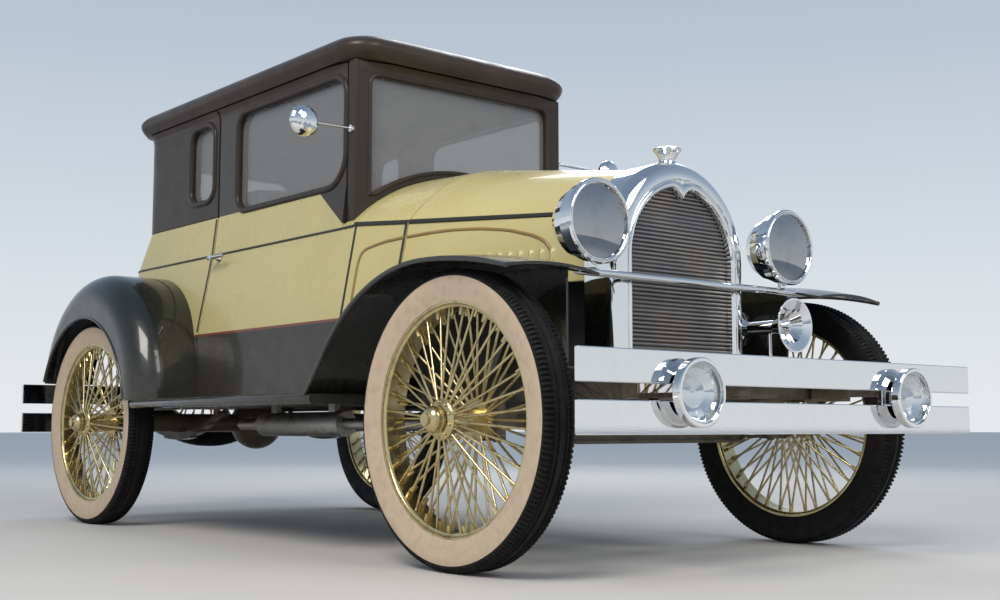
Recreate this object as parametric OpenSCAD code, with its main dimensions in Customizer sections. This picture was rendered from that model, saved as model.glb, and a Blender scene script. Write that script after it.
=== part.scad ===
// Two-seat closed coupe of the 1920s on wire wheels, in millimetres.
// The front faces -Y, the car's left side is +X and the tyres stand on Z = 0.

/* [Wheels and axles] */
// Distance between the front and rear axles
wheelbase = 2340; // [2250:10:2450]
// Distance between the centre planes of the two wheels on an axle
track = 1420; // [1400:5:1450]
// Outer radius of the tyres, which is also the height of the axles
tyre_r = 400; // [394:1:406]
// Width of the tyres
tyre_w = 104; // [96:1:110]
// Height of the tyres' section above the rims
tyre_section = 81; // [76:1:88]
// Width of the rims
rim_w = 78; // [70:1:84]
// Radial depth of the rim channel
rim_depth = 20; // [16:1:26]
// Spokes in one row; each ring has two rows
spokes_per_row = 18; // [12:1:20]
// Diameter of a spoke
spoke_d = 7; // [4:0.5:8]
// Radius of the hub barrel
hub_r = 33; // [30:1:38]
// Reach of the hub cap beyond the wheel's centre plane
hub_reach = 122; // [115:1:130]
// Radius of the stub axles
spindle_r = 18; // [15:0.5:20]
// Distance of each kingpin from the car's centre plane
kingpin_x = 585; // [580:1:588]
// Radius of the kingpins
kingpin_r = 12; // [10:0.5:14]
// Drop of the front axle beam below the axle height
axle_drop = 42; // [36:1:50]
// Half height of the front axle beam
beam_half_h = 26; // [22:1:30]

/* [Frame] */
// Distance of each frame rail from the car's centre plane
rail_x = 360; // [345:1:370]
// Height of the bottom of the frame rails above the axles
rail_above = 55; // [50:1:60]
// Height of the rail section
rail_h = 80; // [70:1:85]
// Width of the rail flanges
rail_w = 46; // [40:1:50]
// Thickness of the rail plate
rail_t = 7; // [5:1:9]
// Reach of the rails in front of the front axle
rail_front = 455; // [440:5:470]
// Reach of the rails behind the rear axle
rail_rear = 370; // [350:2:374]
// Width of a spring leaf
leaf_w = 34; // [30:1:36]
// Thickness of a spring leaf
leaf_t = 8; // [6:1:9]
// Length of the longest leaf of each spring
spring_len = 700; // [660:4:704]

/* [Body] */
// Height of the widest part below the pinstripe
waist_z = 725; // [710:5:740]
// Height of the belt line
belt_z = 1050; // [1040:5:1060]
// Height of the top of the shoulder above the belt line
shoulder_z = 1196; // [1180:2:1206]
// Height of the top of the doors and pillars
cant_z = 1625; // [1610:5:1640]
// Half width of the body at its bottom edge
sill_x = 560; // [555:1:562]
// Half width of the body at the waist
waist_x = 545; // [540:1:550]
// Half width of the body at the belt line
belt_x = 484; // [480:1:488]
// Half width of the cabin above the belt line
cabin_x = 467; // [462:1:470]
// Thickness of the doors and body walls
wall = 44; // [40:1:48]
// Distance from the front axle back to the seam between hood and cowl
cowl_back = 611; // [605:1:620]
// Distance from the front axle back to the front seam of the doors
door_back = 858; // [850:1:865]
// Length of the doors
door_len = 982; // [960:2:1000]
// Distance from the front axle back to the front face of the windscreen pillars
screen_back = 888; // [884:1:892]
// Depth of the windscreen pillars
pillar_y = 44; // [40:1:46]
// Distance from the rear axle back to the back of the cabin
cabin_back = 208; // [200:2:214]
// Distance from the rear axle back to the back of the rear deck
deck_back = 286; // [280:2:292]
// Radius of the rear corners of the body in plan
corner_r = 150; // [130:5:165]
// Gap round the doors and the hood halves
seam = 5; // [5:0.5:7]
// Clearance between pieces that seat on each other
seat_gap = 0.3; // [0.2:0.05:0.5]
// Height of the cowl at the windscreen
cowl_top_z = 1258; // [1250:2:1266]
// Thickness of the floor
floor_t = 20; // [16:1:21]

/* [Windows] */
// Height of the bottom of the side windows
window_z = 1206; // [1200:2:1216]
// Height of the rail above the side windows
window_rail = 50; // [44:1:60]
// Length of the door windows
window_len = 740; // [700:5:750]
// Distance from the door's front seam back to the door window
window_back = 92; // [90:1:96]
// Corner radius at the lower front of the door windows
window_r = 110; // [90:5:130]
// Radius of their other corners
window_corner_r = 62; // [50:2:80]
// Length of the quarter windows
quarter_len = 190; // [170:5:200]
// Radius of the corners of the quarter and rear windows
quarter_r = 56; // [40:2:70]
// Width of the rear window
rear_window_w = 520; // [460:10:560]
// Height of the bottom of the rear window
rear_window_z = 1285; // [1265:5:1300]
// Height of the rail above the rear window
rear_window_rail = 110; // [100:2:130]
// Thickness of the window glass
glass_t = 6; // [4:1:8]

/* [Roof] */
// Half width of the roof at its lower edge
roof_x = 505; // [495:1:512]
// Reach of the roof in front of the windscreen pillars
visor = 46; // [36:1:54]
// Reach of the roof behind the cabin
roof_rear = 22; // [16:1:30]
// Height of the roof's crown above its lower edge
roof_h = 132; // [120:2:145]
// Radius of the roof's corners in plan
roof_corner_r = 112; // [100:2:130]
// Thickness of the roof
roof_t = 30; // [24:1:36]

/* [Hood and radiator] */
// Distance of the radiator's front face ahead of the front axle
radiator_ahead = 162; // [156:1:168]
// Depth of the radiator shell
shell_depth = 130; // [120:1:136]
// Half width of the radiator shell, which is also its arch radius
shell_r = 285; // [278:1:290]
// Height of the top of the radiator shell
shell_top_z = 1165; // [1158:1:1172]
// Width of the shell's front bezel
bezel = 68; // [60:1:74]
// Thickness of the shell's side
shell_t = 14; // [12:1:18]
// Depth of the pointed notch at the top of the radiator opening
notch_h = 34; // [26:1:40]
// Pitch of the fins across the radiator core
fin_pitch = 24; // [20:1:30]
// Half width of the hood at its side moulding where it meets the cowl
hood_edge_x = 444; // [438:1:450]
// Height of the hood's side moulding where it meets the cowl
hood_edge_z = 1032; // [1024:1:1040]
// Half width of the cowl's front at the waist
cowl_waist_x = 505; // [500:1:510]
// Half width of the cowl's front at its bottom edge
cowl_sill_x = 520; // [515:1:525]
// Height of the hood's top at the cowl
hood_rear_z = 1250; // [1244:1:1254]
// Height of the hood's lower edge
hood_low_z = 800; // [795:1:806]
// Thickness of the hood panels
hood_t = 12; // [10:1:16]
// Step of the hood's front edge below the radiator shell
hood_step = 8; // [6:1:10]
// Number of louvres in each hood side
louvres = 14; // [10:1:16]

/* [Fenders and running boards] */
// Half width over the fenders and running boards
fender_x = 800; // [796:1:806]
// Half distance between the inner edges of the front fenders
apron_x = 470; // [465:1:474]
// Gap between the front tyres and the crown of the front fenders
fender_gap = 46; // [42:1:52]
// Distance of the front fender's crown behind the front axle
fender_crown_back = 80; // [70:2:90]
// Radius of the front part of the front fender
fender_front_r = 1500; // [1400:20:1700]
// Radius of the rear part of the front fender
fender_rear_r = 620; // [600:5:640]
// Reach of the front fender ahead of its crown
fender_reach = 370; // [350:5:385]
// Slope of the front fender's tail in degrees
fender_slope = 50; // [46:1:54]
// Thickness of the fender plates
fender_t = 8; // [6:1:10]
// Rise of the front fender's crown above its outer edge
fender_crown = 16; // [12:1:18]
// Radius of the rolled edge of the fenders
edge_r = 7; // [5:0.5:8]
// Outer radius of the rear fender in side view
rear_fender_r = 500; // [492:2:508]
// Distance of the rear fender's centre ahead of the rear axle
rear_fender_ahead = 30; // [24:1:36]
// Height of the rear fender's centre above the axle
rear_fender_lift = 92; // [86:1:98]
// Radius of the rear fender's rounded shoulder
rear_shoulder_r = 110; // [90:5:130]
// Gap between the rear tyre and the rear fender's arch
arch_gap = 16; // [12:1:24]
// Height of the rear fender's rear edge
rear_fender_low_z = 566; // [556:2:580]
// Height of the running boards' top above the bottom of the rails
board_above = 25; // [21:1:25]
// Thickness of the running boards
board_t = 30; // [24:1:36]

/* [Lamps, bumpers and trim] */
// Distance of the headlamp lenses ahead of the front axle
headlamp_ahead = 230; // [224:1:236]
// Distance of each headlamp from the centre plane
headlamp_x = 411; // [405:1:416]
// Height of the headlamps' centre
headlamp_z = 937; // [932:1:944]
// Radius of the headlamp rims
headlamp_r = 118; // [110:1:122]
// Depth of the headlamp bowls
headlamp_depth = 150; // [140:1:158]
// Height of the tie bar's axis
tie_bar_z = 800; // [796:1:804]
// Radius of the tie bar
tie_bar_r = 11; // [9:0.5:12]
// Distance of the front bumper's face ahead of the front axle
bumper_ahead = 575; // [560:1:585]
// Distance of the rear bumper's face behind the rear axle
bumper_behind = 560; // [552:1:570]
// Half length of the bumper bars
bumper_x = 826; // [815:1:832]
// Thickness of the bumper bars
bar_t = 12; // [10:1:14]
// Height of a bumper bar
bar_h = 82; // [76:1:86]
// Height of the bottom of the lower bars
lower_bar_z = 361; // [354:1:366]
// Height of the bottom of the upper bars
upper_bar_z = 483; // [476:1:490]
// Distance of each driving lamp from the centre plane
driving_x = 457; // [450:1:464]
// Radius of the driving lamps
driving_r = 86; // [80:1:90]
// Depth of the driving lamps from bumper to lens
driving_depth = 50; // [44:1:60]
// Distance of the horn from the centre plane
horn_x = 402; // [398:1:406]
// Height of the horn's axis
horn_z = 692; // [686:1:698]
// Radius of the horn's bell
horn_r = 84; // [78:1:88]
// Radius of the rear-view mirrors
mirror_r = 52; // [46:1:58]
// Distance of each mirror from the centre plane
mirror_x = 690; // [680:1:700]
// Height of the mirrors
mirror_z = 1366; // [1356:2:1380]
// Distance from the rear axle back to the spare wheel's centre plane
spare_back = 436; // [432:1:442]
// Height of the spare wheel's centre
spare_z = 696; // [690:1:702]
// Radius of the holes in the towing eyes
tow_hole_r = 13; // [10:0.5:15]

/* [Hidden] */
$fn = 64;
eps = 0.01;
long = 4000;

cream = "#c9bf83";
dark = "#2b2d28";
roof_brown = "#55493c";
chrome = "#c8ccd0";
brass = "#a58a4c";
black = "#171717";
white = "#cfc8bd";

// Overall length runs from the driving lamps to the rear bumper.
front_reach = bumper_ahead + driving_depth;
front_axle_y = -(front_reach + wheelbase + bumper_behind) / 2 + front_reach;
rear_axle_y = front_axle_y + wheelbase;
running_fit = 0.05;
rim_r = tyre_r - tyre_section;
rail_z = tyre_r + rail_above;
board_z = rail_z + board_above;
fender_top_z = 2 * tyre_r + fender_gap;
rear_fender_z = tyre_r + rear_fender_lift;
window_h = cant_z - window_rail - window_z;
rear_window_h = cant_z - rear_window_rail - rear_window_z;

radiator_y = front_axle_y - radiator_ahead;
shell_back_y = radiator_y + shell_depth;
cowl_y = front_axle_y + cowl_back;
door_y = front_axle_y + door_back;
screen_y = front_axle_y + screen_back;
cabin_y = rear_axle_y + cabin_back;
deck_y = rear_axle_y + deck_back;
jamb_y = door_y + door_len + seam;
hinge_x = sill_x + 12;
hinge_y = door_y - 2;
board_front_y = front_axle_y + fender_crown_back + fender_rear_r * sin(fender_slope)
  + (fender_top_z - fender_rear_r * (1 - cos(fender_slope)) - board_z) / tan(fender_slope);
board_rear_y = rear_axle_y - rear_fender_ahead - rear_fender_r;
sill_z = board_z + seat_gap;
rail_top_z = rail_z + rail_h;
cross_top_z = rail_top_z - rail_t;
shell_low_z = cross_top_z + seat_gap;
floor_low_z = rail_top_z + seat_gap;
floor_z = floor_low_z + floor_t;
door_low_z = sill_z + 13;
upper_door_y = screen_y + pillar_y + seam;

// Height and half width of the body side, from its bottom edge to the top of the doors
BODY_SIDE = [[sill_z, sill_x], [waist_z, waist_x], [belt_z, belt_x], [shoulder_z, cabin_x], [cant_z,
  cabin_x]];

function side_x(z) = lookup(z, BODY_SIDE);

module both_sides() {
  children();
  mirror([1, 0, 0]) children();
}

module on_right() mirror([1, 0, 0]) children();

// A flat outline in X and Z, drawn out from y0 to y1
module along_y(y0, y1) translate([0, y1, 0]) rotate([90, 0, 0]) linear_extrude(y1 - y0) children();

// A flat outline in Y and Z, drawn out from x0 to x1
module along_x(x0, x1) translate([x0, 0, 0]) rotate([90, 0, 90]) linear_extrude(x1 - x0) children();

// A profile of radius and X, turned about the X axis
module turned_x() rotate([0, 90, 0]) rotate_extrude() children();

// A profile of radius and depth, turned about an axis that points forward
module turned_front() rotate([90, 0, 0]) rotate_extrude() children();

module rounded(w, h, r) {
  translate([r, 0]) square([w - 2 * r, h]);
  translate([0, r]) square([w, h - 2 * r]);
  for (x = [r, w - r], y = [r, h - r]) translate([x, y]) circle(r);
}

// Wheels

RIM_INNER_R = rim_r - rim_depth;
RIM_WELL = 12;
RIM_LIP = 6;

module rim() turned_x() difference() {
  translate([RIM_INNER_R, -rim_w / 2]) square([rim_depth, rim_w]);
  translate([rim_r - RIM_WELL, -rim_w / 2 + RIM_LIP]) square([rim_depth, rim_w - 2 * RIM_LIP]);
  for (s = [-1, 1]) translate([RIM_INNER_R, s * rim_w / 2]) circle(9);
}

// Rings of spokes: hub radius, X at the hub, X at the rim, turn as a share of the spacing
SPOKE_RINGS = [[hub_r + 22, 58, 14, 0], [hub_r + 24, -52, -14, 0.2]];
HUB_FLANGE_T = 8;

module spoke(hub_at, rim_at) {
  run = rim_at - hub_at;
  len = norm(run);
  translate(hub_at) rotate([0, acos(run[2] / len), atan2(run[1], run[0])])
    cylinder(d = spoke_d, h = len, $fn = 16);
}

module spokes() for (ring = SPOKE_RINGS, side = [-1, 1], i = [0:spokes_per_row - 1]) {
  a = (i + ring[3] + (side > 0 ? 0.25 : -0.25)) * 360 / spokes_per_row;
  lift = side * (spoke_d / 2 + 1);
  spoke([ring[1] + lift, (ring[0] - 6) * sin(a), (ring[0] - 6) * cos(a)],
    [ring[2] + lift, (RIM_INNER_R + 3) * sin(a), (RIM_INNER_R + 3) * cos(a)]);
}

module hub() difference() {
  union() {
    rotate([0, 90, 0]) translate([0, 0, -70]) cylinder(r = hub_r, h = 70 + hub_reach - 34);
    for (ring = SPOKE_RINGS) rotate([0, 90, 0]) translate([0, 0, ring[1] - HUB_FLANGE_T / 2 - 2])
      cylinder(r = ring[0], h = HUB_FLANGE_T + 4);
    rotate([0, 90, 0]) translate([0, 0, hub_reach - 34]) cylinder(r1 = hub_r - 2, r2 = hub_r - 12, h = 26);
    rotate([0, 90, 0]) translate([0, 0, hub_reach - 8]) cylinder(r = hub_r - 16, h = 8);
  }
  rotate([0, 90, 0]) translate([0, 0, -71]) cylinder(r = spindle_r + running_fit, h = 131);
}

// Wire wheel about the X axis, with its outer face towards +X
module wire_wheel() color(brass) {
  rim();
  hub();
  spokes();
}

module tyre() color(black) {
  bead = rim_r - RIM_WELL + seat_gap;
  bead_half = rim_w / 2 - RIM_LIP - seat_gap;
  half = tyre_w / 2;
  side_wall = [[bead_half, bead], [bead_half, rim_r + 1], [half - 6, rim_r + 16], [half, rim_r + 42],
    [half - 2, tyre_r - 10], [half - 9, tyre_r - 2], [half - 16, tyre_r]];
  turned_x() polygon([for (p = side_wall) [p[1], p[0]],
    for (i = [len(side_wall) - 1:-1:0]) [side_wall[i][1], -side_wall[i][0]]]);
}

// Side of the car and position along it for the four road wheels
module at_wheel(side, y) translate([side * track / 2, y, tyre_r]) {
  if (side > 0) children();
  else on_right() children();
}

module wheel_front_right() at_wheel(-1, front_axle_y) wire_wheel();
module wheel_front_left() at_wheel(1, front_axle_y) wire_wheel();
module wheel_rear_right() at_wheel(-1, rear_axle_y) wire_wheel();
module wheel_rear_left() at_wheel(1, rear_axle_y) wire_wheel();
module tyre_front_right() at_wheel(-1, front_axle_y) tyre();
module tyre_front_left() at_wheel(1, front_axle_y) tyre();
module tyre_rear_right() at_wheel(-1, rear_axle_y) tyre();
module tyre_rear_left() at_wheel(1, rear_axle_y) tyre();

module at_spare() translate([0, rear_axle_y + spare_back, spare_z]) rotate([0, 0, 90]) children();
module spare_wheel() at_spare() wire_wheel();
module spare_tyre() at_spare() tyre();

// Chassis

// Distance of each cross member's centre behind the front axle
CROSS_MEMBERS = [-300, -90, 1030, wheelbase - 260, wheelbase + 335];
CROSS_W = 50;

module rail() translate([rail_x, 0]) difference() {
  translate([-rail_w / 2, rail_z]) square([rail_w, rail_h]);
  translate([-rail_w / 2 - eps, rail_z + rail_t]) square([rail_w - rail_t, rail_h - 2 * rail_t]);
}

TOW_HALF_W = 30;
TOW_T = 16;
TOW_REACH = 40;
TOW_FOOT_T = 10;
tow_z = rail_z + 10;

// A level lug with an upright hole, its foot against the cross member; it points forward from y_face
module tow_eye(y_face) difference() {
  union() {
    translate([-TOW_HALF_W, y_face - TOW_REACH, tow_z]) cube([2 * TOW_HALF_W, TOW_REACH - seat_gap, TOW_T]);
    translate([0, y_face - TOW_REACH, tow_z]) cylinder(r = TOW_HALF_W, h = TOW_T);
    translate([-TOW_HALF_W - 15, y_face - TOW_FOOT_T, rail_z + rail_t + 2])
      cube([2 * TOW_HALF_W + 30, TOW_FOOT_T - seat_gap, rail_h - 2 * rail_t - 4]);
  }
  translate([0, y_face - TOW_REACH, tow_z - 1]) cylinder(r = tow_hole_r, h = TOW_T + 2);
}

module tow_eyes() color(black) for (back = [CROSS_MEMBERS[0], CROSS_MEMBERS[4]])
  tow_eye(front_axle_y + back - CROSS_W / 2);

// Hanger ears on both sides of a spring eye
module spring_hanger(y, z) for (s = [-1, 1])
  translate([rail_x + s * (leaf_w / 2 + seat_gap + 3) - 3, y - 18, z - 16])
    cube([6, 36, rail_z + 2 - z + 16]);

module frame_rails() color(black) {
  both_sides() along_y(front_axle_y - rail_front, rear_axle_y + rail_rear) rail();
  for (back = CROSS_MEMBERS) translate([-rail_x, front_axle_y + back - CROSS_W / 2, rail_z + rail_t])
    cube([2 * rail_x, CROSS_W, rail_h - 2 * rail_t]);
  both_sides() for (axle = SPRINGS, end = [-1, 1])
    spring_hanger(axle[0] + end * spring_len / 2, axle[1] + spring_rise(axle[2]));
}

LEAVES = 4;
rear_tube_r = 38;

// Springs: Y of the axle, Z of the main leaf's top at the axle, rise of the ends
SPRINGS = [
  [front_axle_y, tyre_r - axle_drop + beam_half_h + LEAVES * leaf_t + 2 * seat_gap, 26],
  [rear_axle_y, tyre_r - rear_tube_r - seat_gap, 78]
];
EYE_R = 12;
LEAF_SHORTER = 0.22;

function spring_rise(rise) = rise - leaf_t / 2;
function arc_r(rise) = (pow(spring_len / 2, 2) + pow(rise, 2)) / (2 * rise);

// Side view of a stack of leaves: each is an arc with its middle at the lowest point, and shorter
// than the one above
module leaves(rise) for (i = [0:LEAVES - 1]) {
  r = arc_r(rise);
  half = spring_len * (1 - LEAF_SHORTER * i) / 2;
  intersection() {
    translate([0, r]) difference() {
      circle(r + (i + 1) * leaf_t, $fn = 200);
      circle(r, $fn = 200);
    }
    translate([-half, -LEAVES * leaf_t - 1]) square([2 * half, LEAVES * leaf_t + rise + 1]);
  }
}

module spring(rise) along_x(-leaf_w / 2, leaf_w / 2) {
  leaves(rise);
  for (end = [-1, 1]) translate([end * spring_len / 2, spring_rise(rise)]) circle(EYE_R);
}

module springs() color(black) both_sides() for (s = SPRINGS) translate([rail_x, s[0], s[1]]) spring(s[2]);

BOSS_R = 24;
BOSS_H = 84;
beam_z = tyre_r - axle_drop;

BEAM_HALF_W = 24;
BEAM_FLANGE = 9;
BEAM_WEB = 16;
BEAM_BEND_IN_X = 410;
BEAM_BEND_OUT_X = 470;

// Front view of half the beam: level between the springs, then up to the kingpin
module beam_outline(half_h, end_x) polygon([
  [-eps, beam_z - half_h],
  [BEAM_BEND_IN_X, beam_z - half_h],
  [BEAM_BEND_OUT_X, tyre_r - half_h],
  [end_x, tyre_r - half_h],
  [end_x, tyre_r + half_h],
  [BEAM_BEND_OUT_X, tyre_r + half_h],
  [BEAM_BEND_IN_X, beam_z + half_h],
  [-eps, beam_z + half_h]
]);

module front_axle() color(black) difference() {
  union() {
    both_sides() difference() {
      along_y(front_axle_y - BEAM_HALF_W, front_axle_y + BEAM_HALF_W) beam_outline(beam_half_h, kingpin_x);
      for (s = [-1, 1]) along_y(front_axle_y + s * BEAM_HALF_W - BEAM_WEB,
        front_axle_y + s * BEAM_HALF_W + BEAM_WEB)
        beam_outline(beam_half_h - BEAM_FLANGE, kingpin_x - 2 * BOSS_R);
    }
    both_sides() translate([kingpin_x, front_axle_y, tyre_r - BOSS_H / 2]) cylinder(r = BOSS_R, h = BOSS_H);
  }
  both_sides() translate([kingpin_x, front_axle_y, tyre_r - BOSS_H])
    cylinder(r = kingpin_r + running_fit, h = 2 * BOSS_H);
}

EAR_T = 14;
EAR_GAP = 0.5;
KNUCKLE_PLATE_X = 28;
KNUCKLE_PLATE_T = 20;
ARM_LEN = 130;
ARM_W = 22;
ARM_TURN = 14;
EAR_HALF_W = BOSS_R - 5;
PIN_END = 4;
spindle_end = track / 2 + 56;

// Left steering knuckle: ears above and below the axle's boss, kingpin, stub axle and steering arm
module knuckle() color(black) {
  translate([kingpin_x, front_axle_y, tyre_r]) {
    translate([0, 0, -BOSS_H / 2 - EAR_GAP - EAR_T - PIN_END])
      cylinder(r = kingpin_r, h = BOSS_H + 2 * (EAR_GAP + EAR_T + PIN_END));
    for (z = [-BOSS_H / 2 - EAR_GAP - EAR_T, BOSS_H / 2 + EAR_GAP]) translate([0, 0, z]) {
      cylinder(r = BOSS_R, h = EAR_T);
      translate([0, -EAR_HALF_W, 0]) cube([KNUCKLE_PLATE_X + KNUCKLE_PLATE_T - 3, 2 * EAR_HALF_W, EAR_T]);
    }
    translate([KNUCKLE_PLATE_X, -BOSS_R, -BOSS_H / 2 - EAR_T / 2])
      cube([KNUCKLE_PLATE_T, 2 * BOSS_R, BOSS_H + EAR_T]);
    rotate([0, 90, 0]) translate([0, 0, KNUCKLE_PLATE_X + 2])
      cylinder(r = spindle_r, h = spindle_end - kingpin_x - KNUCKLE_PLATE_X - 2);
    translate([0, 0, -BOSS_H / 2 - EAR_GAP - EAR_T + 2]) rotate([0, 0, ARM_TURN])
      translate([-ARM_W / 2, 0, 0]) cube([ARM_W, ARM_LEN, EAR_T - 4]);
  }
}
module knuckle_left() knuckle();
module knuckle_right() on_right() knuckle();

DIFF_R = 112;
TORQUE_TUBE_R = 34;
GEARBOX_BACK = 980;

// Axle casing and half shafts in one turned profile, with the torque tube running forward
module rear_axle() color(black) translate([0, rear_axle_y, tyre_r]) {
  turned_x() {
    translate([0, -rear_tube_end]) square([rear_tube_r, 2 * rear_tube_end]);
    translate([0, -spindle_end]) square([spindle_r, 2 * spindle_end]);
    intersection() {
      circle(DIFF_R);
      translate([0, -DIFF_R]) square([DIFF_R, 2 * DIFF_R]);
    }
  }
  rotate([90, 0, 0]) translate([0, 0, DIFF_R / 2])
    cylinder(r = TORQUE_TUBE_R, h = wheelbase - GEARBOX_BACK - seat_gap - DIFF_R / 2);
}

rear_tube_end = track / 2 - 76;
ENGINE_X = 140;
ENGINE_BACK = 20;
ENGINE_H = 400;
GEARBOX_X = 105;
GEARBOX_FRONT = 200;
GEARBOX_DROP = 60;
GEARBOX_H = 130;
BEARER_BACK = 250;
BEARER_W = 40;
bearer_x = rail_x + rail_w / 2 - rail_t - seat_gap;

// Engine, gearbox and the bearer that lies in the rails' channels
module engine_block() color(black) {
  translate([-ENGINE_X, front_axle_y + ENGINE_BACK, rail_z + 45])
    cube([2 * ENGINE_X, cowl_back - 45, ENGINE_H]);
  translate([-GEARBOX_X, front_axle_y + GEARBOX_FRONT, rail_z - GEARBOX_DROP])
    cube([2 * GEARBOX_X, GEARBOX_BACK - GEARBOX_FRONT, GEARBOX_H - seat_gap]);
  translate([-bearer_x, front_axle_y + BEARER_BACK, rail_z + rail_t + seat_gap])
    cube([2 * bearer_x, BEARER_W, rail_h - 2 * rail_t - 2 * seat_gap]);
}

MUFFLER_R = 44;
MUFFLER_BACK = 1120;
MUFFLER_LEN = 560;
HANGER_INSET = 60;
HANGER_W = 40;
PIPE_R = 20;
PIPE_BACK = 560;
PIPE_LEN = 1300;
ELBOW_R = 25;
EXHAUST_X = 335;
EXHAUST_Z = 392;
MANIFOLD_BACK = 470;
MANIFOLD_Z = 620;

// Pipe down from the engine's side and back to the silencer, which hangs from the right rail
module exhaust() color(black) on_right() {
  translate([EXHAUST_X, front_axle_y + MUFFLER_BACK, EXHAUST_Z]) rotate([-90, 0, 0])
    cylinder(r = MUFFLER_R, h = MUFFLER_LEN);
  translate([EXHAUST_X, front_axle_y + PIPE_BACK, EXHAUST_Z]) rotate([-90, 0, 0])
    cylinder(r = PIPE_R, h = PIPE_LEN);
  translate([EXHAUST_X, front_axle_y + PIPE_BACK, EXHAUST_Z]) sphere(ELBOW_R);
  spoke_tube([EXHAUST_X, front_axle_y + PIPE_BACK, EXHAUST_Z], [ENGINE_X + seat_gap + 16.2,
    front_axle_y + MANIFOLD_BACK, MANIFOLD_Z], PIPE_R);
  for (y = [HANGER_INSET, MUFFLER_LEN - HANGER_INSET - HANGER_W])
    translate([EXHAUST_X - 10, front_axle_y + MUFFLER_BACK + y, EXHAUST_Z + MUFFLER_R - 6])
      cube([20, HANGER_W, rail_z - EXHAUST_Z - MUFFLER_R + 6 - seat_gap]);
}

// A round bar between two points
module spoke_tube(a, b, r) {
  run = b - a;
  translate(a) rotate([0, acos(run[2] / norm(run)), atan2(run[1], run[0])])
    cylinder(r = r, h = norm(run), $fn = 32);
}

// Radiator

module arch(r, top_z, low_z) {
  intersection() {
    translate([0, top_z - r]) circle(r);
    translate([-r, top_z - r]) square([2 * r, r]);
  }
  translate([-r, low_z]) square([2 * r, top_z - r - low_z + eps]);
}

CAP_NECK_R = 17;
CAP_R = 36;
CAP_H = 54;
FACE_T = 24;

module radiator_opening() difference() {
  arch(shell_r - bezel, shell_top_z - bezel - 12, shell_low_z + 40);
  translate([0, shell_top_z - bezel - 12 - notch_h]) rotate(45) square(120);
}

module radiator_shell() color(chrome) {
  difference() {
    along_y(radiator_y, shell_back_y) arch(shell_r, shell_top_z, shell_low_z);
    along_y(radiator_y + FACE_T, shell_back_y + 1)
      arch(shell_r - shell_t, shell_top_z - shell_t, shell_low_z - 1);
    along_y(radiator_y - 1, shell_back_y) radiator_opening();
  }
  translate([0, radiator_y + shell_depth / 2, shell_top_z - 4]) rotate_extrude()
    polygon([[0, 0], [CAP_NECK_R + 4, 0], [CAP_NECK_R, 12], [CAP_NECK_R, 28], [CAP_R - 5, 34], [CAP_R,
      42], [CAP_R - 8, 50], [14, CAP_H], [0, CAP_H + 2]]);
}

CORE_T = 60;
FIN_H = 8;
FIN_DEEP = 10;

module radiator_core() color(black) intersection() {
  along_y(radiator_y, shell_back_y)
    arch(shell_r - shell_t - seat_gap, shell_top_z - shell_t - seat_gap, shell_low_z);
  union() {
    translate([-shell_r, radiator_y + FACE_T + seat_gap, shell_low_z])
      cube([2 * shell_r, CORE_T, shell_top_z - shell_low_z]);
    intersection() {
      along_y(radiator_y, shell_back_y) radiator_opening_core();
      for (z = [shell_low_z + fin_pitch:fin_pitch:shell_top_z])
        translate([-shell_r, radiator_y + FACE_T + seat_gap - FIN_DEEP, z])
        cube([2 * shell_r, FIN_DEEP + eps, FIN_H]);
    }
  }
}

module radiator_opening_core() difference() {
  arch(shell_r - bezel - 1, shell_top_z - bezel - 13, shell_low_z + 41);
  translate([0, shell_top_z - bezel - 14 - notch_h]) rotate(45) square(122);
}

// Hood and cowl

module hood_front_section(inset)
  arch(shell_r - hood_step - inset, shell_top_z - hood_step - inset, shell_low_z);
hood_crown_r = (pow(hood_edge_x, 2) + pow(hood_rear_z - hood_edge_z,
  2)) / (2 * (hood_rear_z - hood_edge_z));

// Height and half width of the body side where hood and cowl meet
COWL_SIDE = [[sill_z, cowl_sill_x], [waist_z, cowl_waist_x], [hood_edge_z + eps, hood_edge_x]];

// Section there: sides that slope in up to the moulding, and the crown over them
module hood_rear_section(inset) {
  intersection() {
    translate([0, hood_rear_z - hood_crown_r]) circle(hood_crown_r - inset, $fn = 192);
    translate([-hood_edge_x + inset, hood_edge_z]) square([2 * (hood_edge_x - inset), hood_rear_z]);
  }
  polygon([for (p = COWL_SIDE) [p[1] - inset, p[0]],
    for (i = [len(COWL_SIDE) - 1:-1:0]) [inset - COWL_SIDE[i][1], COWL_SIDE[i][0]]]);
}

hood_y0 = shell_back_y + seam;
hood_y1 = cowl_y - seam;

module hood_solid(inset, grow) hull() {
  along_y(hood_y0 - grow, hood_y0 - grow + 1) hood_front_section(inset, $fn = 96);
  along_y(hood_y1 + grow - 1, hood_y1 + grow) hood_rear_section(inset, $fn = 96);
}

LOUVRE_H = 92;
LOUVRE_R = 7;
LOUVRE_SINK = 2;
LOUVRE_LOW = 14;
LOUVRE_FRONT = 0.14;
LOUVRE_REAR = 0.93;

// A point on the hood's side: share of the way from the radiator to the cowl, and height
function hood_side(t, z) = [
  (1 - t) * (shell_r - hood_step) + t * lookup(z, COWL_SIDE) - LOUVRE_SINK,
  hood_y0 + t * (hood_y1 - hood_y0),
  z
];

module hood_half() color(cream) {
  difference() {
    hood_solid(0, 0);
    hood_solid(hood_t, 2);
    translate([-long, -long, -long]) cube([long + seam / 2, 2 * long, 2 * long]);
    translate([-long, -long, -long]) cube([2 * long, 2 * long, long + hood_low_z]);
  }
  for (i = [0:louvres - 1]) {
    t = LOUVRE_FRONT + (LOUVRE_REAR - LOUVRE_FRONT) * i / (louvres - 1);
    spoke_tube(hood_side(t, hood_low_z + LOUVRE_LOW), hood_side(t, hood_low_z + LOUVRE_LOW + LOUVRE_H),
      LOUVRE_R);
  }
}
module hood_left() hood_half();
module hood_right() on_right() hood_half();

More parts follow.
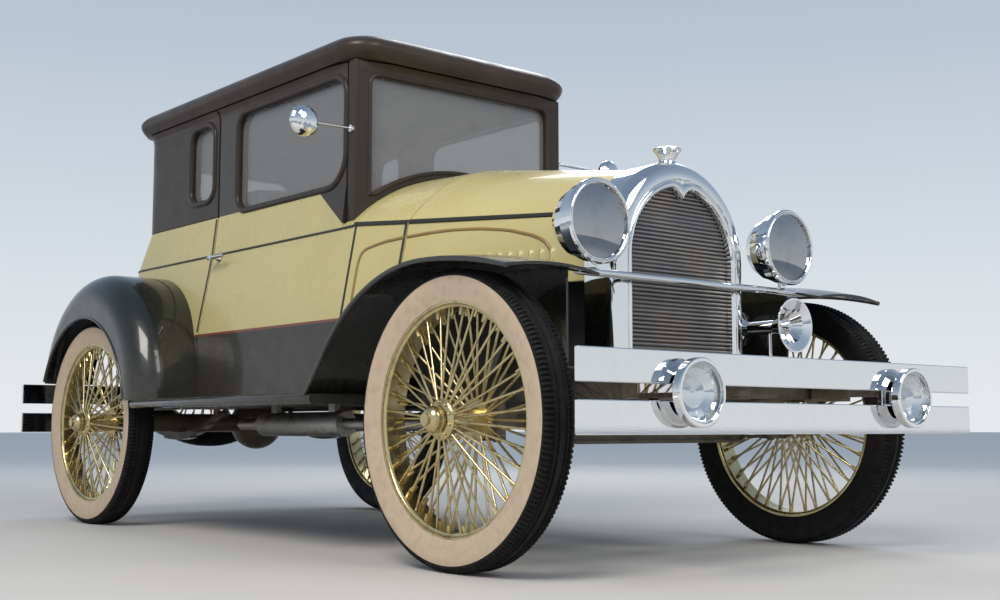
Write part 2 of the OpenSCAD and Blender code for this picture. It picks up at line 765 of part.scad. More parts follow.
cowl_r = (pow(belt_x, 2) + pow(cowl_top_z - belt_z, 2)) / (2 * (cowl_top_z - belt_z));
COWL_T = 24;
FIREWALL_T = 16;

module cowl_crown(grow) intersection() {
  translate([0, cowl_top_z - cowl_r]) circle(cowl_r + grow, $fn = 160);
  translate([-belt_x - grow, belt_z]) square([2 * (belt_x + grow), cowl_r]);
}

module cowl_rear_section(inset) {
  cowl_crown(-inset);
  polygon([[-sill_x + inset, sill_z], [sill_x - inset, sill_z], [waist_x - inset, waist_z],
    [belt_x - inset, belt_z + eps],
    [-belt_x + inset, belt_z + eps], [-waist_x + inset, waist_z]]);
}

module cowl_solid(inset, y0, y1) hull() {
  along_y(y0, y0 + 1) hood_rear_section(inset);
  along_y(door_y - 1, y1) cowl_rear_section(inset);
}

module cowl() color(cream) {
  difference() {
    cowl_solid(0, cowl_y, door_y);
    translate([0, 0, -1]) cowl_solid(COWL_T, cowl_y + FIREWALL_T, door_y + 1);
    both_sides() translate([hinge_x, hinge_y, 0]) cylinder(r = LUG_R + seam, h = door_low_z + LUG_H + seam);
    translate([-TOE_X, cowl_y - 1, 0]) cube([2 * TOE_X, FIREWALL_T + 2, floor_low_z]);
  }
  along_y(door_y - eps, screen_y + pillar_y) difference() {
    cowl_crown(0);
    cowl_crown(-COWL_T);
  }
  hood_hinge();
}

HINGE_ROD_R = seam / 2 - seat_gap;
HINGE_FOOT = 12;

// Rod along the hood's top line, on which both halves turn
module hood_hinge() {
  rise = (hood_rear_z - shell_top_z + hood_step) / (hood_y1 - hood_y0);
  spoke_tube([0, shell_back_y + seat_gap, shell_top_z - hood_step + rise * (seat_gap - seam)],
    [0, hood_y1 + 2, hood_rear_z + 2 * rise], HINGE_ROD_R);
  translate([-HINGE_ROD_R, hood_y1 - 1, hood_rear_z - HINGE_FOOT])
    cube([2 * HINGE_ROD_R, seam + 4, HINGE_FOOT]);
}

// Body

module plan(half_w, y1, r) {
  translate([-half_w, 0]) square([2 * half_w, y1 - r]);
  translate([-half_w + r, 0]) square([2 * (half_w - r), y1]);
  for (s = [-1, 1]) translate([s * (half_w - r), y1 - r]) circle(r, $fn = 48);
}

// Height, half width and rear end of the tub's outer surface
TUB = [[sill_z, sill_x, deck_y - 60], [waist_z, waist_x, deck_y - 14], [belt_z, belt_x, deck_y],
  [shoulder_z, cabin_x, cabin_y]];

module tub_level(level, inset, rear_y, r, lift) translate([0, 0, level[0] + lift])
  linear_extrude(eps) plan(level[1] - inset, rear_y, r);

DOOR_CLEAR = 14;

// Side view of the rear fender with a margin round it, which the door's lower corner follows
module fender_clear(margin) translate([rear_fender_y, rear_fender_z])
  circle(rear_fender_r + margin, $fn = 128);

// The tub is lofted from level to level, and its hollow has an upright rear wall
module body_tub() color(cream) difference() {
  for (i = [0:len(TUB) - 2]) hull() {
    tub_level(TUB[i], 0, TUB[i][2], corner_r, 0);
    tub_level(TUB[i + 1], 0, TUB[i + 1][2], corner_r, 0);
  }
  for (i = [0:len(TUB) - 2]) hull() {
    tub_level(TUB[i], wall, cabin_y - wall, corner_r - wall, i == 0 ? -1 : -eps);
    tub_level(TUB[i + 1], wall, cabin_y - wall, corner_r - wall, i == len(TUB) - 2 ? 1 : eps);
  }
  difference() {
    translate([-long, -long, -1]) cube([2 * long, long + jamb_y, 2 * long]);
    along_x(-long, long) fender_clear(DOOR_CLEAR - seam);
  }
  translate([-rail_passage_x, cabin_y - wall - 1, 0])
    cube([2 * rail_passage_x, deck_y - cabin_y + wall + 2, floor_low_z]);
}

rail_passage_x = rail_x + rail_w / 2 + seam;
quarter_y = jamb_y + 42;

module quarter_outline(inset) translate([quarter_y + inset, window_z + 72 + inset])
  rounded(quarter_len - 2 * inset, window_h - 72 - 2 * inset, quarter_r - inset);

module rear_outline(inset) translate([-rear_window_w / 2 + inset, rear_window_z + inset])
  rounded(rear_window_w - 2 * inset, rear_window_h - 2 * inset, quarter_r - inset);

module cabin_rear() color(dark) difference() {
  translate([0, 0, shoulder_z + seat_gap]) linear_extrude(cant_z - shoulder_z - seat_gap)
    plan(cabin_x, cabin_y, corner_r);
  translate([0, 0, shoulder_z - 1]) linear_extrude(cant_z)
    plan(cabin_x - wall, cabin_y - wall, corner_r - wall);
  translate([-long, -long, -1]) cube([2 * long, long + jamb_y, 2 * long]);
  along_x(-long, long) quarter_outline(0);
  along_y(cabin_y - 2 * wall, long) rear_outline(0);
}

SCREEN_RAIL = 30;
SCREEN_POST = 66;

module screen_outline(inset) intersection() {
  translate([-cabin_x + SCREEN_POST + inset, belt_z])
    rounded(2 * (cabin_x - SCREEN_POST - inset), cant_z - 46 - inset - belt_z, 36 - inset);
  difference() {
    translate([-long, belt_z]) square([2 * long, long]);
    cowl_crown(SCREEN_RAIL + inset);
  }
}

module windscreen_frame() color(dark) along_y(screen_y, screen_y + pillar_y) difference() {
  translate([-cabin_x, belt_z]) square([2 * cabin_x, cant_z - belt_z]);
  cowl_crown(seat_gap);
  screen_outline(0);
}

ROOF_LEVELS = 6;
ROOF_INSET = 300;
ROOF_FLARE = 20;
ROOF_FLARE_H = 46;

// Plan of the roof drawn in from its edge
module roof_plan(in) for (x = [-1, 1], y = [0, 1]) translate([
  x * (roof_x - in - roof_corner_r),
  y ? cabin_y + roof_rear - in - roof_corner_r : screen_y - visor + in + roof_corner_r
]) circle(roof_corner_r, $fn = 32);

// The roof flares out from the cabin to its edge, and each level above is drawn in as it rises
module roof_solid(inset, h) translate([0, 0, cant_z + seat_gap]) hull() {
  linear_extrude(eps) roof_plan(inset + ROOF_FLARE);
  for (i = [0:ROOF_LEVELS]) {
    a = 90 * i / ROOF_LEVELS;
    translate([0, 0, ROOF_FLARE_H + (h - ROOF_FLARE_H) * sin(a)]) linear_extrude(eps)
      roof_plan(inset + ROOF_INSET * (1 - cos(a)));
  }
}

module roof() color(roof_brown) difference() {
  roof_solid(0, roof_h);
  translate([0, 0, -eps]) roof_solid(cabin_inset, roof_h - roof_t);
}
cabin_inset = roof_x - cabin_x + wall;

TOE_X = hood_edge_x;

module floor_plan() {
  translate([-TOE_X, cowl_y + FIREWALL_T + seat_gap]) square([2 * TOE_X, door_y - cowl_y]);
  translate([-(sill_x - wall - 10), door_y]) square([2 * (sill_x - wall - 10), jamb_y - door_y]);
  translate([0, jamb_y - eps]) plan_tail();
}

module plan_tail() intersection() {
  translate([0, -jamb_y])
    plan(side_x(floor_z) - wall - seat_gap, cabin_y - wall - seat_gap, corner_r - wall);
  translate([-long, 0]) square([2 * long, long]);
}

module floor() color(black) translate([0, 0, floor_low_z]) linear_extrude(floor_t) floor_plan();

dash_y = screen_y + pillar_y;

DASH_H = 130;
DASH_T = 30;
dash_x = cabin_x - wall - 6;

module dashboard() color(roof_brown) along_y(dash_y + seat_gap, dash_y + DASH_T) intersection() {
  cowl_crown(-6);
  translate([-dash_x, belt_z]) square([2 * dash_x, DASH_H]);
}

SEAT_X = 410;
SEAT_Y = 500;
SEAT_LEN = 440;
SEAT_Z = 860;

SEAT_BACK_T = 140;
SEAT_BACK_H = 800;
seat_y = door_y + SEAT_Y;

module seat_cushion() color(roof_brown) translate([-SEAT_X, seat_y, floor_z + seat_gap])
  cube([2 * SEAT_X, SEAT_LEN, SEAT_Z - floor_z]);
module seat_back() color(roof_brown) translate([-SEAT_X, seat_y + SEAT_LEN + seat_gap, floor_z + seat_gap])
  cube([2 * SEAT_X, SEAT_BACK_T, SEAT_BACK_H]);

COLUMN_X = 215;
COLUMN_TILT = 35;
COLUMN_LEN = 585;
WHEEL_R = 180;
column_foot = [COLUMN_X, cowl_y + 10, 700];

module at_column() translate(column_foot) rotate([COLUMN_TILT - 90, 0, 0]) children();

module steering_column() color(black) difference() {
  at_column() cylinder(r = 19, h = COLUMN_LEN);
  translate([0, cowl_y + FIREWALL_T + seat_gap - 200, 0]) translate([-long, 0, 0])
    cube([2 * long, 200, long]);
}

module steering_wheel() color(black) at_column() translate([0, 0, COLUMN_LEN + 0.5]) {
  cylinder(r = 24, h = 26);
  translate([0, 0, 13]) {
    rotate_extrude() translate([WHEEL_R, 0]) circle(12, $fn = 24);
    for (a = [0, 90, 180, 270]) rotate([0, 90, a]) cylinder(r = 7, h = WHEEL_R);
  }
}

module window_glass() color("#8f9499", 0.4) {
  along_y(screen_y + pillar_y / 2 - glass_t / 2,
    screen_y + pillar_y / 2 + glass_t / 2) screen_outline(seat_gap);
  both_sides() along_x(cabin_x - wall / 2 - glass_t / 2,
    cabin_x - wall / 2 + glass_t / 2) quarter_outline(seat_gap);
  along_y(cabin_y - wall / 2 - glass_t / 2, cabin_y - wall / 2 + glass_t / 2) rear_outline(seat_gap);
}

// Doors

LUG_R = 16;
LUG_H = 40;
PIVOT_R = 7;

module door_outline() {
  translate([door_y, door_low_z]) square([door_len, belt_z - seam - door_low_z]);
  translate([upper_door_y, door_low_z])
    square([door_y + door_len - upper_door_y, cant_z - seam - door_low_z]);
}

// The window's outline, with a wider sweep at its lower front corner
module door_window(inset) translate([door_y + window_back + inset, window_z + inset]) difference() {
  rounded(window_len - 2 * inset, window_h - 2 * inset, window_corner_r - inset);
  difference() {
    translate([-1, -1]) square(window_r - inset + 1);
    translate([window_r - inset, window_r - inset]) circle(window_r - inset);
  }
}

module wall_section()
  polygon([for (p = BODY_SIDE) [p[1], p[0]],
    for (i = [len(BODY_SIDE) - 1:-1:0]) [BODY_SIDE[i][1] - wall, BODY_SIDE[i][0]]]);

module door() color(cream) {
  difference() {
    intersection() {
      along_y(door_y, door_y + door_len) wall_section();
      along_x(0, 2 * sill_x) door_outline();
      translate([hinge_x, hinge_y, 0]) cylinder(r = door_len, h = long, $fn = 200);
    }
    along_x(0, 2 * sill_x) door_window(0);
    along_x(0, 2 * sill_x) fender_clear(DOOR_CLEAR);
  }
  translate([hinge_x, hinge_y, door_low_z]) cylinder(r = LUG_R, h = LUG_H);
  translate([hinge_x - 6, hinge_y, door_low_z]) cube([6, LUG_R + 20, LUG_H]);
  translate([hinge_x, hinge_y, board_z - board_t]) cylinder(r = PIVOT_R, h = board_t + LUG_H);
}
module door_left() door();
module door_right() on_right() door();

module door_glass() color("#8f9499", 0.4)
  along_x(cabin_x - wall / 2 - glass_t / 2, cabin_x - wall / 2 + glass_t / 2) door_window(seat_gap);
module door_glass_left() door_glass();
module door_glass_right() on_right() door_glass();

HANDLE_Y = 60;
HANDLE_LOW = 22;
HANDLE_OUT = 42;
HANDLE_BASE_R = 16;

module door_handle() color(chrome)
  translate([side_x(belt_z - HANDLE_LOW - HANDLE_BASE_R) + seat_gap, door_y + door_len - HANDLE_Y,
    belt_z - HANDLE_LOW]) {
  rotate([0, 90, 0]) cylinder(r1 = HANDLE_BASE_R, r2 = 9, h = 14);
  rotate([0, 90, 0]) cylinder(r = 8, h = HANDLE_OUT);
  translate([HANDLE_OUT - 8, 0, 0]) rotate([90, 0, 0]) translate([0, 0, -20])
    cylinder(r1 = 9, r2 = 6, h = 120);
}
module door_handle_left() door_handle();
module door_handle_right() on_right() door_handle();

// Fenders and running boards

fender_mid = (apron_x + fender_x) / 2;
fender_half = (fender_x - apron_x) / 2;
crown_r = (pow(fender_half, 2) + pow(fender_crown, 2)) / (2 * fender_crown);
crown_y = front_axle_y + fender_crown_back;

TAIL_STEP = 0.8;

// Section of the front fender in radius and X, its crown at radius r and its faces drawn in by step
module fender_section(r, step) {
  intersection() {
    translate([r - crown_r, fender_mid]) difference() {
      circle(crown_r - step, $fn = 200);
      circle(crown_r - fender_t + step, $fn = 200);
    }
    translate([r - 60, apron_x + APRON_LAP + step]) square([70, fender_x - apron_x - APRON_LAP - 2 * step]);
  }
  translate([r - fender_crown - fender_t / 2, fender_x - edge_r]) circle(edge_r - step, $fn = 24);
}

// The section turned about the X axis from angle a0 to a1, both counted rearwards from the top
module fender_arc(r, a0, a1) translate([0, crown_y, fender_top_z - r]) rotate([0, -90, 0])
  rotate([0, 0, a0])
  rotate_extrude(angle = a1 - a0, $fn = 200) fender_section(r, 0);

FENDER_TRIM_X = cowl_sill_x + 16;
APRON_LAP = 2;
tail_len = (fender_top_z - fender_rear_r * (1 - cos(fender_slope)) - board_z) / sin(fender_slope);
fender_nose = asin(fender_reach / fender_front_r);

apron_rear_r = fender_rear_r - fender_crown - fender_t / 2;
apron_end_y = crown_y + apron_rear_r * sin(fender_slope);
apron_end_z = fender_top_z - fender_rear_r + apron_rear_r * cos(fender_slope);

// Side view of the valance between the fender and the frame rail, its top in the middle of the fender plate
module apron_outline() intersection() {
  translate([radiator_y, rail_top_z + seat_gap]) square([cowl_y - radiator_y, fender_top_z]);
  union() {
    intersection() {
      translate([crown_y, fender_top_z - fender_front_r])
        circle(fender_front_r - fender_crown - fender_t / 2, $fn = 200);
      translate([crown_y - long, 0]) square([long, long]);
    }
    intersection() {
      translate([crown_y, fender_top_z - fender_rear_r]) circle(apron_rear_r, $fn = 200);
      translate([crown_y, 0]) square([apron_end_y - crown_y, long]);
    }
    polygon([[apron_end_y, 0], [apron_end_y, apron_end_z], [apron_end_y + tail_len * cos(fender_slope),
      apron_end_z - tail_len * sin(fender_slope)]]);
  }
}

module fender_apron() {
  along_x(-apron_x - fender_t, -apron_x) apron_outline();
  translate([-apron_x - fender_t, radiator_y, rail_top_z + seat_gap])
    cube([apron_x + fender_t - rail_x + 10, apron_end_y - radiator_y, fender_t]);
}

module front_fenders() color(dark) both_sides() difference() {
  union() {
    fender_arc(fender_front_r, -fender_nose, 0);
    fender_arc(fender_rear_r, 0, fender_slope);
    translate([0, crown_y, fender_top_z - fender_rear_r]) rotate([-fender_slope, 0, 0])
      along_y(-1, tail_len + 60)
      rotate(90) fender_section(fender_rear_r, TAIL_STEP);
    fender_apron();
  }
  translate([-long, -long, -long]) cube([2 * long, 2 * long, long + board_z + seat_gap]);
  translate([-FENDER_TRIM_X, cowl_y - seam, 0]) cube([2 * FENDER_TRIM_X, long, long]);
}

rear_fender_y = rear_axle_y - rear_fender_ahead;
REAR_INNER_X = belt_x - 10;

module rear_fender_profile(inset) {
  r = rear_fender_r - inset;
  v = fender_x - inset;
  s = rear_shoulder_r - inset;
  translate([0, REAR_INNER_X]) square([r - s, v - REAR_INNER_X]);
  translate([0, REAR_INNER_X]) square([r, v - s - REAR_INNER_X]);
  translate([r - s, v - s]) circle(s);
}

module rear_fenders() color(dark) both_sides() difference() {
  translate([0, rear_fender_y, rear_fender_z]) rotate([0, -90, 0]) rotate_extrude($fn = 128) difference() {
    rear_fender_profile(0);
    translate([0, -eps]) rear_fender_profile(fender_t);
  }
  along_y(-long, long) polygon([for (s = [1, -1])
    for (p = (s > 0 ? BODY_SIDE : [BODY_SIDE[4], BODY_SIDE[3], BODY_SIDE[2], BODY_SIDE[1], BODY_SIDE[0]]))
    [s * (p[1] + seat_gap), p[0]]]);
  translate([-long, rear_axle_y, tyre_r]) rotate([0, 90, 0])
    cylinder(r = tyre_r + arch_gap, h = long - track / 2, $fn = 128);
  translate([-long, -long, -long]) cube([2 * long, 2 * long, long + board_z + seat_gap]);
  translate([-long, rear_axle_y, -long]) cube([2 * long, long, long + rear_fender_low_z]);
}

BOARD_LAP = 60;

module running_boards() color(dark) both_sides() difference() {
  union() {
    translate([rail_x + rail_w / 2 + seat_gap, board_front_y - BOARD_LAP, board_z - board_t])
      cube([fender_x - board_t / 2 - rail_x - rail_w / 2, board_rear_y - board_front_y + 2 * BOARD_LAP,
        board_t]);
    translate([fender_x - board_t / 2, board_front_y - BOARD_LAP, board_z - board_t / 2])
      rotate([-90, 0, 0])
      cylinder(d = board_t, h = board_rear_y - board_front_y + 2 * BOARD_LAP);
  }
  translate([hinge_x, hinge_y, board_z - 2 * board_t]) cylinder(r = PIVOT_R + running_fit, h = 3 * board_t);
}

// Lamps and trim

HEAD_RIM = 14;
lens_y = front_axle_y - headlamp_ahead;
tie_bar_y = lens_y + 36;

module headlamp_bowl() difference() {
  turned_front() polygon([for (a = [0:15:90]) [(headlamp_r - 6) * sin(a),
    -HEAD_RIM - (headlamp_depth - HEAD_RIM) * cos(a)],
    [headlamp_r, -HEAD_RIM], [headlamp_r, -4], [headlamp_r - 4, 0], [0, 0]]);
  turned_front() translate([0, -8]) square([headlamp_r - HEAD_RIM, 20]);
}

module driving_bowl() difference() {
  turned_front() polygon([[0, seat_gap], [40, seat_gap], [64, 7], [76, 18], [driving_r - 5,
    driving_depth - 24],
    [driving_r, driving_depth - 22], [driving_r, driving_depth - 3], [driving_r - 3, driving_depth], [0,
      driving_depth]]);
  turned_front() polygon([[0, 14], [36, 17], [60, 26], [driving_r - 16, driving_depth - 8],
    [driving_r - 10, driving_depth - 8],
    [driving_r - 10, driving_depth + 1], [0, driving_depth + 1]]);
}

bumper_y = front_axle_y - bumper_ahead;
driving_z = (upper_bar_z + lower_bar_z + bar_h) / 2;

module lamps() color(chrome) both_sides() {
  translate([headlamp_x, lens_y, headlamp_z]) headlamp_bowl();
  translate([headlamp_x, tie_bar_y, tie_bar_z + tie_bar_r + seat_gap])
    cylinder(r = 13, h = headlamp_z - headlamp_r + 20 - tie_bar_z - tie_bar_r);
  translate([driving_x, bumper_y, driving_z]) driving_bowl();
}

module lamp_lenses() color("#9aa4ae", 0.6) both_sides() {
  translate([headlamp_x, lens_y, headlamp_z]) turned_front() translate([0, -8 + seat_gap])
    square([headlamp_r - HEAD_RIM - seat_gap, 7]);
  translate([driving_x, bumper_y, driving_z]) turned_front() translate([0, driving_depth - 8 + seat_gap])
    square([driving_r - 10 - seat_gap, 7]);
}

// The bar reaches from one front fender's inner edge to the other's
tie_bar_half = apron_x + APRON_LAP - seat_gap;

module tie_bar() color(chrome) translate([-tie_bar_half, tie_bar_y, tie_bar_z]) rotate([0, 90, 0])
  cylinder(r = tie_bar_r, h = 2 * tie_bar_half);

HORN_LEN = 250;
HORN_TUBE_R = 21;
HORN_DRUM_R = 54;
HORN_POST_BACK = 100;
horn_foot_z = rail_top_z + fender_t + 2 * seat_gap;

// Bell, tube and sounding drum on one axis, on a post that stands on the fender's foot plate
module horn() color(chrome) translate([horn_x, lens_y - 20, horn_z]) {
  turned_front() polygon([[0, -HORN_LEN], [HORN_DRUM_R - 8, -HORN_LEN], [HORN_DRUM_R, -HORN_LEN + 8],
    [HORN_DRUM_R, -HORN_LEN + 44],
    [HORN_TUBE_R + 8, -HORN_LEN + 58], [HORN_TUBE_R, -HORN_LEN + 76], [HORN_TUBE_R + 2, -75], [34, -40],
      [56, -16], [horn_r, -3],
    [horn_r, 0], [horn_r - 5, 0], [52, -12], [28, -38], [14, -70], [0, -76]]);
  translate([0, HORN_POST_BACK, horn_foot_z - horn_z]) cylinder(r = 7, h = horn_z - horn_foot_z);
}

ARM_X = rail_x + rail_w / 2 + seat_gap;
ARM_T = 14;
ARM_GRIP = 110;

// A pair of bars with their irons, which grip the rails; dir is -1 at the front and 1 at the rear
module bumper(face_y, rail_end_y, dir) {
  inner_y = face_y - dir * bar_t;
  for (z = [lower_bar_z, upper_bar_z]) translate([-bumper_x, min(face_y, inner_y), z])
    cube([2 * bumper_x, bar_t, bar_h]);
  both_sides() {
    translate([ARM_X, min(inner_y, inner_y - dir * 16), lower_bar_z])
      cube([40, 16, upper_bar_z + bar_h - lower_bar_z]);
    translate([ARM_X, min(inner_y, rail_end_y - dir * ARM_GRIP), rail_z + 12])
      cube([ARM_T, abs(inner_y - rail_end_y) + ARM_GRIP, 50]);
  }
}

module bumpers() color(chrome) {
  bumper(bumper_y, front_axle_y - rail_front, -1);
  bumper(rear_axle_y + bumper_behind, rear_axle_y + rail_rear, 1);
}

CARRIER_Y = rear_axle_y + 318;
CARRIER_HALF_W = 34;
CARRIER_T = 36;
CARRIER_PLATE_R = 70;

module spare_carrier() color(black) {
  translate([-CARRIER_HALF_W, CARRIER_Y, cross_top_z + seat_gap])
    cube([2 * CARRIER_HALF_W, CARRIER_T, spare_z - cross_top_z]);
  translate([0, CARRIER_Y, spare_z]) rotate([-90, 0, 0]) cylinder(r = CARRIER_PLATE_R, h = CARRIER_T);
  translate([0, CARRIER_Y + 10, spare_z]) rotate([-90, 0, 0])
    cylinder(r = spindle_r, h = rear_axle_y + spare_back + 50 - CARRIER_Y - 10);
}

MIRROR_AHEAD = 46;
mirror_y = screen_y - MIRROR_AHEAD;

module mirrors() color(chrome) both_sides() {
  translate([mirror_x, mirror_y, mirror_z]) turned_front()
    polygon([[0, -14], [mirror_r - 4, -14], [mirror_r, -10], for (a = [0:15:90]) [mirror_r * cos(a),
      26 * sin(a) - 6]]);
  spoke_tube([mirror_x, mirror_y, mirror_z], [cabin_x + 6, screen_y + 16, mirror_z + 18], 5);
  translate([cabin_x + seat_gap, screen_y + 16, mirror_z + 18]) rotate([0, 90, 0]) cylinder(r = 12, h = 8);
}

frame_rails();
tow_eyes();
front_axle();
rear_axle();
springs();
engine_block();
exhaust();
radiator_shell();
radiator_core();
cowl();
body_tub();
cabin_rear();
windscreen_frame();
roof();
floor();
dashboard();
seat_cushion();
seat_back();
steering_column();
window_glass();
front_fenders();
rear_fenders();
running_boards();
lamps();
lamp_lenses();
tie_bar();
horn();
bumpers();
spare_carrier();
spare_wheel();
spare_tyre();
mirrors();
hood_right();
hood_left();
door_right();
door_left();
door_glass_right();
door_glass_left();
door_handle_right();
door_handle_left();
knuckle_right();
knuckle_left();
steering_wheel();
wheel_front_right();
wheel_front_left();
wheel_rear_right();
wheel_rear_left();
tyre_front_right();
tyre_front_left();
tyre_rear_right();
tyre_rear_left();
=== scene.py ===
"""Looks of a two-seat closed coupe of the 1920s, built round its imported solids, in metres."""

import bmesh
import bpy
import numpy as np
from mathutils import Euler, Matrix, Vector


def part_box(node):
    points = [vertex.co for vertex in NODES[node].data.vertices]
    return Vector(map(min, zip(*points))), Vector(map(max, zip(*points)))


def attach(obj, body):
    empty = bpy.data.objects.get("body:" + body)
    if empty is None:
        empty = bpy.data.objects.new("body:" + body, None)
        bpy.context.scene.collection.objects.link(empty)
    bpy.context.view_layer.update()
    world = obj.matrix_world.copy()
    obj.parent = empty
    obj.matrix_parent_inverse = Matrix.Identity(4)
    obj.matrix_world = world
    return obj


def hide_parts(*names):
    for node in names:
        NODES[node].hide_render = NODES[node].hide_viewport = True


bl_info = {
    "name": "Closed coupe looks",
    "version": (1, 0, 0),
    "blender": (4, 5, 0),
    "location": "3D View > Sidebar > Coupe",
    "description": "Dresses the packed solids of a closed coupe with skins, trim, tyres, seats and finishes",
    "category": "Object",
}

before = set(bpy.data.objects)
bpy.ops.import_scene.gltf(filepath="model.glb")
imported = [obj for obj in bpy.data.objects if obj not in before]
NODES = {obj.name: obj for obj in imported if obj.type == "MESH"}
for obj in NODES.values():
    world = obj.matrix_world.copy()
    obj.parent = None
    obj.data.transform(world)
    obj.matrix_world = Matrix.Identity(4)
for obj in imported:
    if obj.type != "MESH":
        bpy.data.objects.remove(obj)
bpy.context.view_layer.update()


def box_face(node, axis, end):
    """Place of one face of a solid's box along an axis: end 0 is the low face and end 1 the high one."""
    return float(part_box(node)[end][axis])


# Sides of the car: name and sign of X
SIDES = (("right", -1.0), ("left", 1.0))
UP = np.array([0.0, 0.0, 1.0])
LEFTWARD = (1.0, 0.0, 0.0)
FORWARD = (0.0, -1.0, 0.0)
REARWARD = (0.0, 1.0, 0.0)

# Body side from the sill to the top of the doors: heights and half widths
SIDE_Z = np.array([0.4803, 0.725, 1.05, 1.196, 1.625])
SIDE_X = np.array([0.560, 0.545, 0.484, 0.467, 0.467])
BELT_Z = 1.044

# Body from the windscreen to the tail
SCREEN_Y = box_face("windscreen_frame", 1, 0)
SCREEN_BACK_Y = box_face("windscreen_frame", 1, 1)
DOOR_Y = -0.2795
DOOR_END_Y = 0.7025
JAMB_Y = box_face("cabin_rear", 1, 0)
CABIN_X = box_face("cabin_rear", 0, 1)
CABIN_Y = box_face("cabin_rear", 1, 1)
DECK_Y = box_face("body_tub", 1, 1)
CORNER_R = 0.150

# Hood: its two ends, its front arch and the section where it meets the cowl
HOOD_Y0 = box_face("hood_left", 1, 0)
HOOD_Y1 = box_face("hood_left", 1, 1)
HOOD_GAP = box_face("hood_left", 0, 0)
HOOD_LOW_Z = box_face("hood_left", 2, 0)
COWL_Y = -0.5265
ARCH_R = 0.277
ARCH_Z = 0.880
CREASE_ANGLE = np.radians(64.0)
CREASE_X = 0.444
CREASE_Z = 1.032
HOOD_REAR_Z = 1.250
HOOD_CROWN_R = (CREASE_X**2 + (HOOD_REAR_Z - CREASE_Z) ** 2) / (2 * (HOOD_REAR_Z - CREASE_Z))
COWL_SIDE_Z = np.array([0.4803, 0.725, 1.032])
COWL_SIDE_X = np.array([0.520, 0.505, 0.444])

# Radiator shell
RADIATOR_Y = box_face("radiator_shell", 1, 0)
SHELL_BACK_Y = box_face("radiator_shell", 1, 1)
SHELL_LOW_Z = box_face("radiator_shell", 2, 0)
SHELL_R = box_face("radiator_shell", 0, 1)
SHELL_TOP_Z = ARCH_Z + SHELL_R


def side_x(z):
    """Half width of the body at a height, straight between the listed heights."""
    return np.interp(z, SIDE_Z, SIDE_X)


# Meshes from arrays

# Points closer than this are one point
MERGE = 1e-6


def unit(vectors):
    """Each vector divided by its own length."""
    return vectors / np.maximum(np.linalg.norm(vectors, axis=-1, keepdims=True), 1e-12)


def grid(points, wrap_rows=False, wrap_columns=False):
    """A sheet of quads over an array of points, rows by columns, joined end to end where it wraps."""
    rows, columns = points.shape[:2]
    index = np.arange(rows * columns).reshape(rows, columns)
    if wrap_rows:
        index = np.vstack([index, index[:1]])
    if wrap_columns:
        index = np.hstack([index, index[:, :1]])
    corners = (index[:-1, :-1], index[:-1, 1:], index[1:, 1:], index[1:, :-1])
    return points.reshape(-1, 3), np.stack(corners, -1).reshape(-1, 4)


def tube(points):
    """A closed skin over rings of points, each end drawn to the middle of its ring."""
    ends = points.mean(axis=1, keepdims=True).repeat(points.shape[1], axis=1)
    return grid(np.concatenate([ends[:1], points, ends[-1:]]), wrap_columns=True)


def line(start, end, count):
    """Points at even steps from one place to another."""
    return np.linspace(np.asarray(start, float), np.asarray(end, float), count)


def piece(name, parts, finish, body, slot, replaces=(), closed=True, sharp=40.0, values=None):
    """Joins sheets of quads into one mesh piece that rides on a body and may stand for solids."""
    starts = np.cumsum([0] + [len(points) for points, _ in parts])
    points = np.concatenate([points for points, _ in parts])
    quads = np.concatenate([quads + start for (_, quads), start in zip(parts, starts)])
    mesh = bpy.data.meshes.new(name)
    mesh.from_pydata(points.tolist(), [], quads.tolist())
    if values is not None:
        layer = mesh.attributes.new(values[0], "FLOAT", "POINT")
        layer.data.foreach_set("value", values[1].astype(np.float32))
    work = bmesh.new()
    work.from_mesh(mesh)
    bmesh.ops.remove_doubles(work, verts=work.verts, dist=MERGE)
    bmesh.ops.dissolve_degenerate(work, edges=work.edges, dist=MERGE)
    if closed:
        bmesh.ops.recalc_face_normals(work, faces=work.faces)
    work.to_mesh(mesh)
    work.free()
    mesh.shade_smooth()
    mesh.set_sharp_from_angle(angle=np.radians(sharp))
    mesh.materials.append(bpy.data.materials[finish])
    made = bpy.data.objects.new(name, mesh)
    bpy.context.scene.collection.objects.link(made)
    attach(made, body)
    if replaces:
        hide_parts(*replaces)
    return made


def swept(path, outward, profile, closed=False):
    """A profile carried along a path: its first number runs across the path, its second along outward."""
    if closed:
        along = np.roll(path, -1, axis=0) - np.roll(path, 1, axis=0)
    else:
        along = np.gradient(path, axis=0)
    outward = np.broadcast_to(np.asarray(outward, float), path.shape)
    across = unit(np.cross(along, outward))
    lift = unit(np.cross(across, along))
    rings = path[:, None] + profile[None, :, :1] * across[:, None] + profile[None, :, 1:] * lift[:, None]
    return grid(rings, wrap_rows=True, wrap_columns=True) if closed else tube(rings)


def half_round(width, height, sunk=0.002, count=9):
    """Half an ellipse on a flat foot that is sunk a little into what carries it."""
    angle = np.linspace(0, np.pi, count)
    bow = np.stack([width / 2 * np.cos(angle), height * np.sin(angle)], -1)
    return np.concatenate([bow, [[-width / 2, -sunk], [width / 2, -sunk]]])


def circle(radius, count):
    """Points round a circle about the origin."""
    angle = np.linspace(0, 2 * np.pi, count, endpoint=False)
    return radius * np.stack([np.cos(angle), np.sin(angle)], -1)


